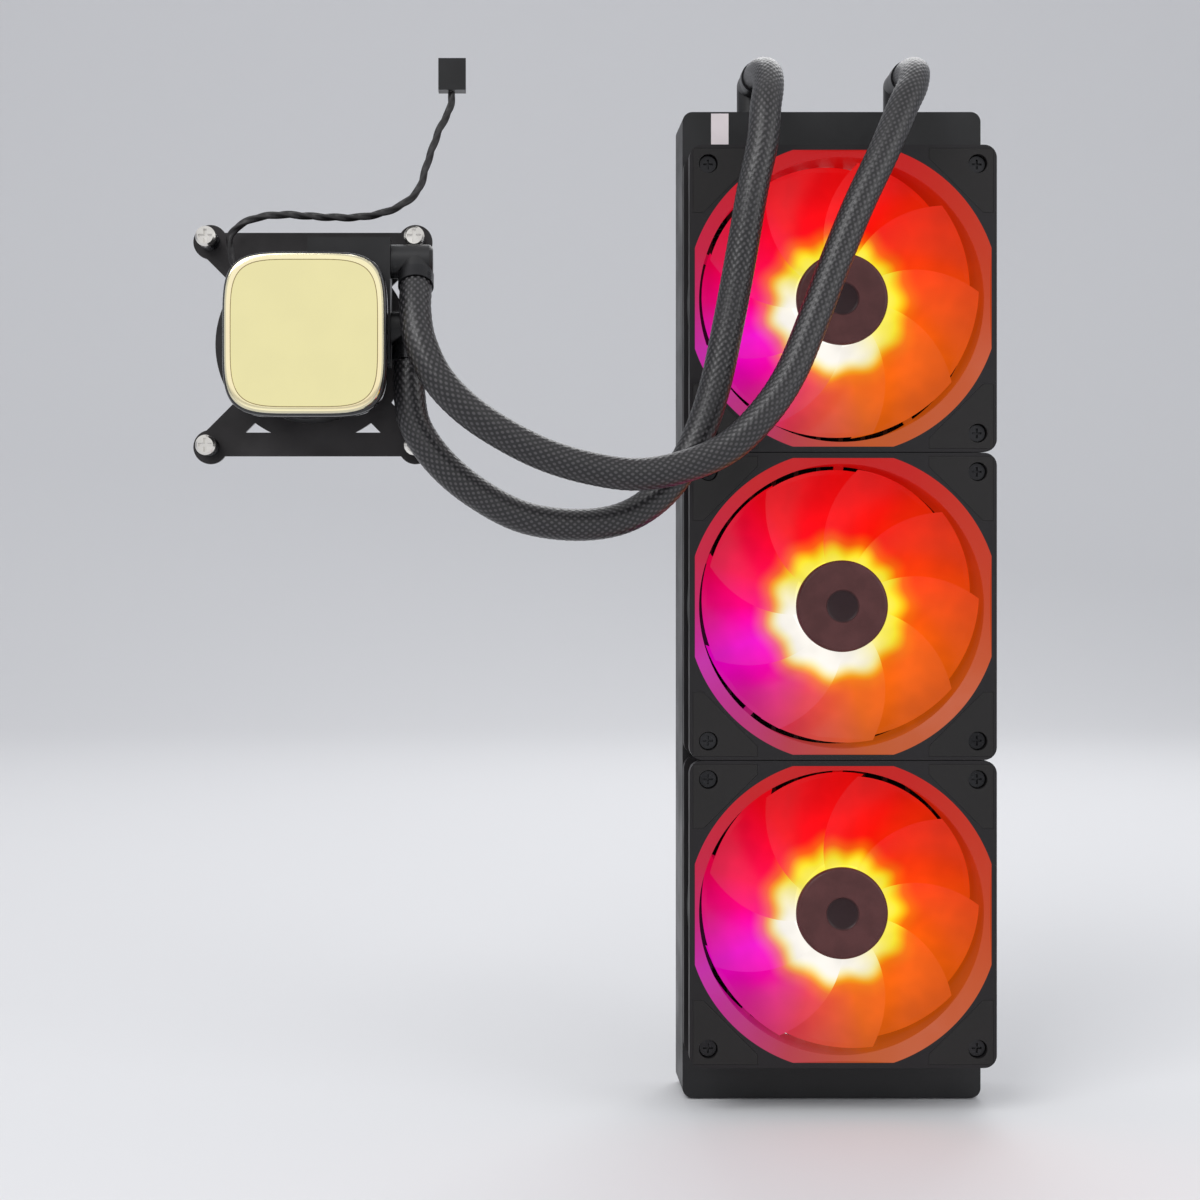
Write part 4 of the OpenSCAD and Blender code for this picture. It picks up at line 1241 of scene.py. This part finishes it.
@dataclass
class PumpCap:
    """Mirror cap of the pump head: bezel, lit rim and glass, all on one bowed square."""

    power: float = 4.6
    border: float = 2.2 * MM
    groove: float = 0.3 * MM
    pole: float = 0.2 * MM
    window: float = 20 * MM

    def build(self) -> None:
        """Make the three pieces in place of the CAD cap."""
        low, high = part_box("cap_bezel")
        glass_low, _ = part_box("mirror_glass")
        centre = ((low.x + high.x) / 2, 0.0, (low.z + high.z) / 2)
        half = (high.x - low.x) / 2
        back, front, top = -high.y, -low.y, -glass_low.y
        bezel_finish = Coating("bezel_gloss", (0.010, 0.010, 0.011), 0.16, grain=0.3 * MM,
                               grain_depth=0.004 * MM, coat=0.6).make()
        bezel = self.loft(centre, [
            (half - 1.0 * MM, back), (half - 0.3 * MM, back + 0.6 * MM), (half, back + 3 * MM),
            (half, front - 1.6 * MM), (half - 0.3 * MM, front - 0.5 * MM),
            (half - 0.9 * MM, front), (half - 1.6 * MM, front), (half - 2.0 * MM, front - 0.6 * MM),
            (half - 2.3 * MM, back + 2 * MM), (self.window, back + 2 * MM),
            (self.window, back)], loop=True)
        piece = bezel.build("cap_bezel_gloss", [bezel_finish], 40.0)
        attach(piece, "root")
        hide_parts("cap_bezel")
        rim = self.loft(centre, [
            (half - 2.5 * MM, front - 2.8 * MM), (half - 2.3 * MM, front - 0.3 * MM),
            (half - 4.4 * MM, front - 0.3 * MM), (half - 4.8 * MM, front - 2.8 * MM)], loop=True)
        glow = Glass("rim_light", (0.9, 0.8, 0.55), centre, 0.3, 0.0, 0.9)
        piece = rim.build("light_ring_bowed", [glow.make()])
        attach(piece, "root")
        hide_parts("light_ring")
        self.glass(centre, half - 1.0 * MM, front + 0.1 * MM, top)

    def ring(self, centre: Point, half: float, forward: float) -> np.ndarray:
        """Give one bowed square.

        Args:
            centre: The cap's centre.
            half: Half its width.
            forward: Its forward distance.

        Returns:
            Points as rows of x, y, z.
        """
        xz = squircle(half, self.power)
        return np.stack([centre[0] + xz[:, 0], np.full(len(xz), -forward),
                         centre[2] + xz[:, 1]], -1)

    def loft(self, centre: Point, rings: Sequence[tuple[float, float]], loop: bool) -> Shell:
        """Join bowed squares into one surface.

        Args:
            centre: The cap's centre.
            rings: Half width and forward distance of each square.
            loop: True joins the last square to the first.

        Returns:
            The shell.
        """
        rows = np.array([self.ring(centre, half, forward) for half, forward in rings])
        return Shell().grid(rows, loop=loop, caps=not loop)

    def glass(self, centre: Point, half: float, back: float, top: float) -> None:
        """Make the glass: a polished edge, a pale lit border, a fine groove and the mirror.

        Args:
            centre: The cap's centre.
            half: Half width of the glass.
            back: Forward distance of its back face.
            top: Forward distance of its front face.
        """
        edge, mirror, border, line = range(4)
        outer, inner = half - self.border, half - self.border - self.groove
        bands = (
            (edge, [(half - 0.5 * MM, back), (half, back + 0.4 * MM), (half, top - 0.7 * MM),
                    (half - 0.25 * MM, top - 0.25 * MM), (half - 0.8 * MM, top - 0.02 * MM)]),
            (border, [(half - 0.8 * MM, top - 0.02 * MM), (outer, top)]),
            (line, [(outer, top), ((outer + inner) / 2, top - self.groove / 2), (inner, top)]),
            (mirror, [(inner, top), (half * 0.5, top), (self.pole, top)]),
            (edge, [(self.pole, back), (half - 0.5 * MM, back)]),
        )
        shell = Shell()
        for mark, rings in bands:
            rows = np.array([self.ring(centre, h, forward) for h, forward in rings])
            shell.grid(rows, caps=False, mark=mark)
        for forward, mark in ((top, mirror), (back, edge)):
            ring = self.ring(centre, self.pole, forward)
            middle = np.repeat(ring.mean(0)[None], len(ring), 0)
            shell.grid(np.array([ring, middle]), caps=False, mark=mark)
        # The yellow of these colours is a painted reflection of warm room light in the mirror.
        finishes = [
            Glass("glass_edge", (0.72, 0.66, 0.44), centre, 0.12).make(),
            Glass("mirror_face", (0.98, 0.90, 0.46), centre, 0.04).make(),
            Glass("lit_border", (0.98, 0.91, 0.56), centre, 0.10, glow=0.12).make(),
            Glass("border_line", (0.55, 0.46, 0.26), centre, 0.2).make(),
        ]
        piece = shell.build("mirror_glass_bowed", finishes, 30.0)
        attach(piece, "root")
        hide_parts("mirror_glass")


@dataclass
class SpringSet:
    """Coil springs under the four bracket screws."""

    wire: float = 1.0 * MM
    coil: float = 3.1 * MM
    turns: float = 6.0
    flat_end: float = 0.08
    kept: float = 0.72

    def build(self, finish: bpy.types.Material) -> None:
        """Wind a round wire for each screw.

        The wire is a helix whose pitch drops to nothing over a short share at both ends.

        Args:
            finish: The wire's material.
        """
        for k in range(1, 5):
            low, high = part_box(f"bracket_spring_{k}")
            x, z = (low.x + high.x) / 2, (low.z + high.z) / 2
            t = np.linspace(0, 1, 260)
            a = t * self.turns * math.tau
            climb = np.clip((t - self.flat_end) / (1 - 2 * self.flat_end), 0, 1)
            y = high.y - self.wire / 2 - climb * (high.y - low.y - self.wire)
            path = np.stack([x + self.coil * np.cos(a), y, z + self.coil * np.sin(a)], -1)
            angles = np.linspace(0, math.tau, 12, endpoint=False)
            ring = np.full((len(path), len(angles)), self.wire / 2)
            shell = Shell().grid(tube(path, ring, angles))
            spring = shell.build(f"bracket_spring_coil_{k}", [finish])
            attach(spring, "root")
            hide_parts(f"bracket_spring_{k}")
            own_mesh(spring)


@dataclass
class Studio:
    """Pale floor and backdrop, soft lamps and the camera."""

    camera_at: Point = (-0.1396, -0.792, 0.0165)
    lens: float = 57.0
    shift: tuple[float, float] = (0.096, -0.030)
    paper: Colour = (0.80, 0.80, 0.81)
    floor_gap: float = 0.5 * MM
    half_width: float = 30.0
    near_edge: float = -30.0
    bend_at: float = 1.6
    bend: float = 1.2
    top_edge: float = 6.0
    soft_light: float = 0.6

    def build(self) -> None:
        """Set the stage."""
        scene = bpy.context.scene
        scene.view_settings.view_transform = "Standard"
        self.floor()
        self.world()
        self.lamp("key", (-1.0, -1.3, 1.3), (-0.1, 0.0, 0.0), 1.1, 17.0)
        self.lamp("fill", (1.4, -1.0, 0.6), (0.0, 0.0, 0.0), 1.2, 6.5)
        self.lamp("back", (0.3, 1.2, 1.2), (0.0, 0.0, 0.0), 1.0, 9.0)
        data = bpy.data.cameras.new("camera")
        data.lens = self.lens
        data.shift_x, data.shift_y = self.shift
        data.clip_start = 0.05
        camera = bpy.data.objects.new("camera", data)
        camera.location = self.camera_at
        camera.rotation_euler = (math.pi / 2, 0.0, 0.0)
        scene.collection.objects.link(camera)
        scene.camera = camera

    def floor(self) -> None:
        """A floor that curves up into a backdrop behind the cooler: a profile swept along X."""
        low = CAD_BOX[0].z - self.floor_gap
        a = np.linspace(0, math.pi / 2, 24)
        y = np.concatenate([[self.near_edge], self.bend_at + self.bend * np.sin(a),
                            [self.bend_at + self.bend]])
        z = np.concatenate([[low], low + self.bend * (1 - np.cos(a)), [self.top_edge]])
        rows = np.array([np.stack([x + 0 * y, y, z], -1)
                         for x in (-self.half_width, self.half_width)])
        shell = Shell().grid(rows, ringed=False, caps=False)
        n = NodeTree("studio_paper")
        n.shade(Base_Color=self.paper, Roughness=0.9)
        shell.build("studio_floor", [n.material])

    def world(self) -> None:
        """Soft even light, with a pale background where the camera and gloss see it."""
        world = bpy.data.worlds.new("studio_light")
        bpy.context.scene.world = world
        world.use_nodes = True
        tree = world.node_tree
        tree.nodes.clear()
        out = tree.nodes.new("ShaderNodeOutputWorld")
        mix = tree.nodes.new("ShaderNodeMixShader")
        rays = tree.nodes.new("ShaderNodeLightPath")
        seen = tree.nodes.new("ShaderNodeMath")
        seen.operation = "MAXIMUM"
        soft, bright = (tree.nodes.new("ShaderNodeBackground") for _ in range(2))
        soft.inputs["Color"].default_value = (0.93, 0.95, 1.0, 1.0)
        soft.inputs["Strength"].default_value = self.soft_light
        bright.inputs["Color"].default_value = (0.85, 0.85, 0.86, 1.0)
        tree.links.new(rays.outputs["Is Camera Ray"], seen.inputs[0])
        tree.links.new(rays.outputs["Is Glossy Ray"], seen.inputs[1])
        tree.links.new(seen.outputs[0], mix.inputs[0])
        tree.links.new(soft.outputs[0], mix.inputs[1])
        tree.links.new(bright.outputs[0], mix.inputs[2])
        tree.links.new(mix.outputs[0], out.inputs[0])

    def lamp(self, name: str, at: Point, to: Point, size: float, power: float) -> None:
        """Hang a square soft lamp that looks at a point.

        Args:
            name: The lamp's name.
            at: Where it hangs, in metres.
            to: The point that it faces.
            size: Its width, in metres.
            power: Its power, in watts.
        """
        data = bpy.data.lights.new(name, "AREA")
        data.size = size
        data.energy = power
        lamp = bpy.data.objects.new(name, data)
        lamp.location = at
        lamp.rotation_mode = "QUATERNION"
        lamp.rotation_quaternion = (Vector(to) - Vector(at)).to_track_quat("-Z", "Y")
        bpy.context.scene.collection.objects.link(lamp)


def dress_frames(wardrobe: Wardrobe, places: Sequence[str]) -> None:
    """Give each fan frame its moulding, with the lit front lip.

    Args:
        wardrobe: What dresses the nodes.
        places: The fans' places, from the top down.
    """
    for index, place in enumerate(places):
        low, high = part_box(f"fan_{place}_frame")
        centre = ((low.x + high.x) / 2, low.y, (low.z + high.z) / 2)
        moulding = FrameMoulding(f"frame_moulding_{index}", centre)
        wardrobe.dress(f"fan_{place}_frame", moulding.make())


def main() -> None:
    """Build the cooler piece by piece and report each one."""
    logging.basicConfig(level=logging.INFO, format="%(name)s: %(message)s")
    Studio().build()
    LOG.info("studio and camera")
    wardrobe = Wardrobe()
    wardrobe.dress_all()
    braid = Braid("hose_braid", 16, 118.0).make()
    Hose("upper_hose", full_route(40 * MM, 29 * MM, 34.0, UPPER_MIDDLE, 1), "upper_swivel"
         ).build(braid)
    Hose("lower_hose", full_route(37.5 * MM, 4 * MM, 8.0, LOWER_MIDDLE, -1), "lower_swivel"
         ).build(braid)
    PumpCable().build(wardrobe.get(Material.CABLE))
    Radiator(wardrobe).build()
    LOG.info("radiator core")
    places = ("top", "middle", "bottom")
    dress_frames(wardrobe, places)
    for place in places:
        Fan(place).build()
        LOG.info("fan %s", place)
    PumpCap().build()
    SpringSet().build(wardrobe.get(Material.SPRING))
    LOG.info("pump head")


if __name__ == "__main__":
    main()
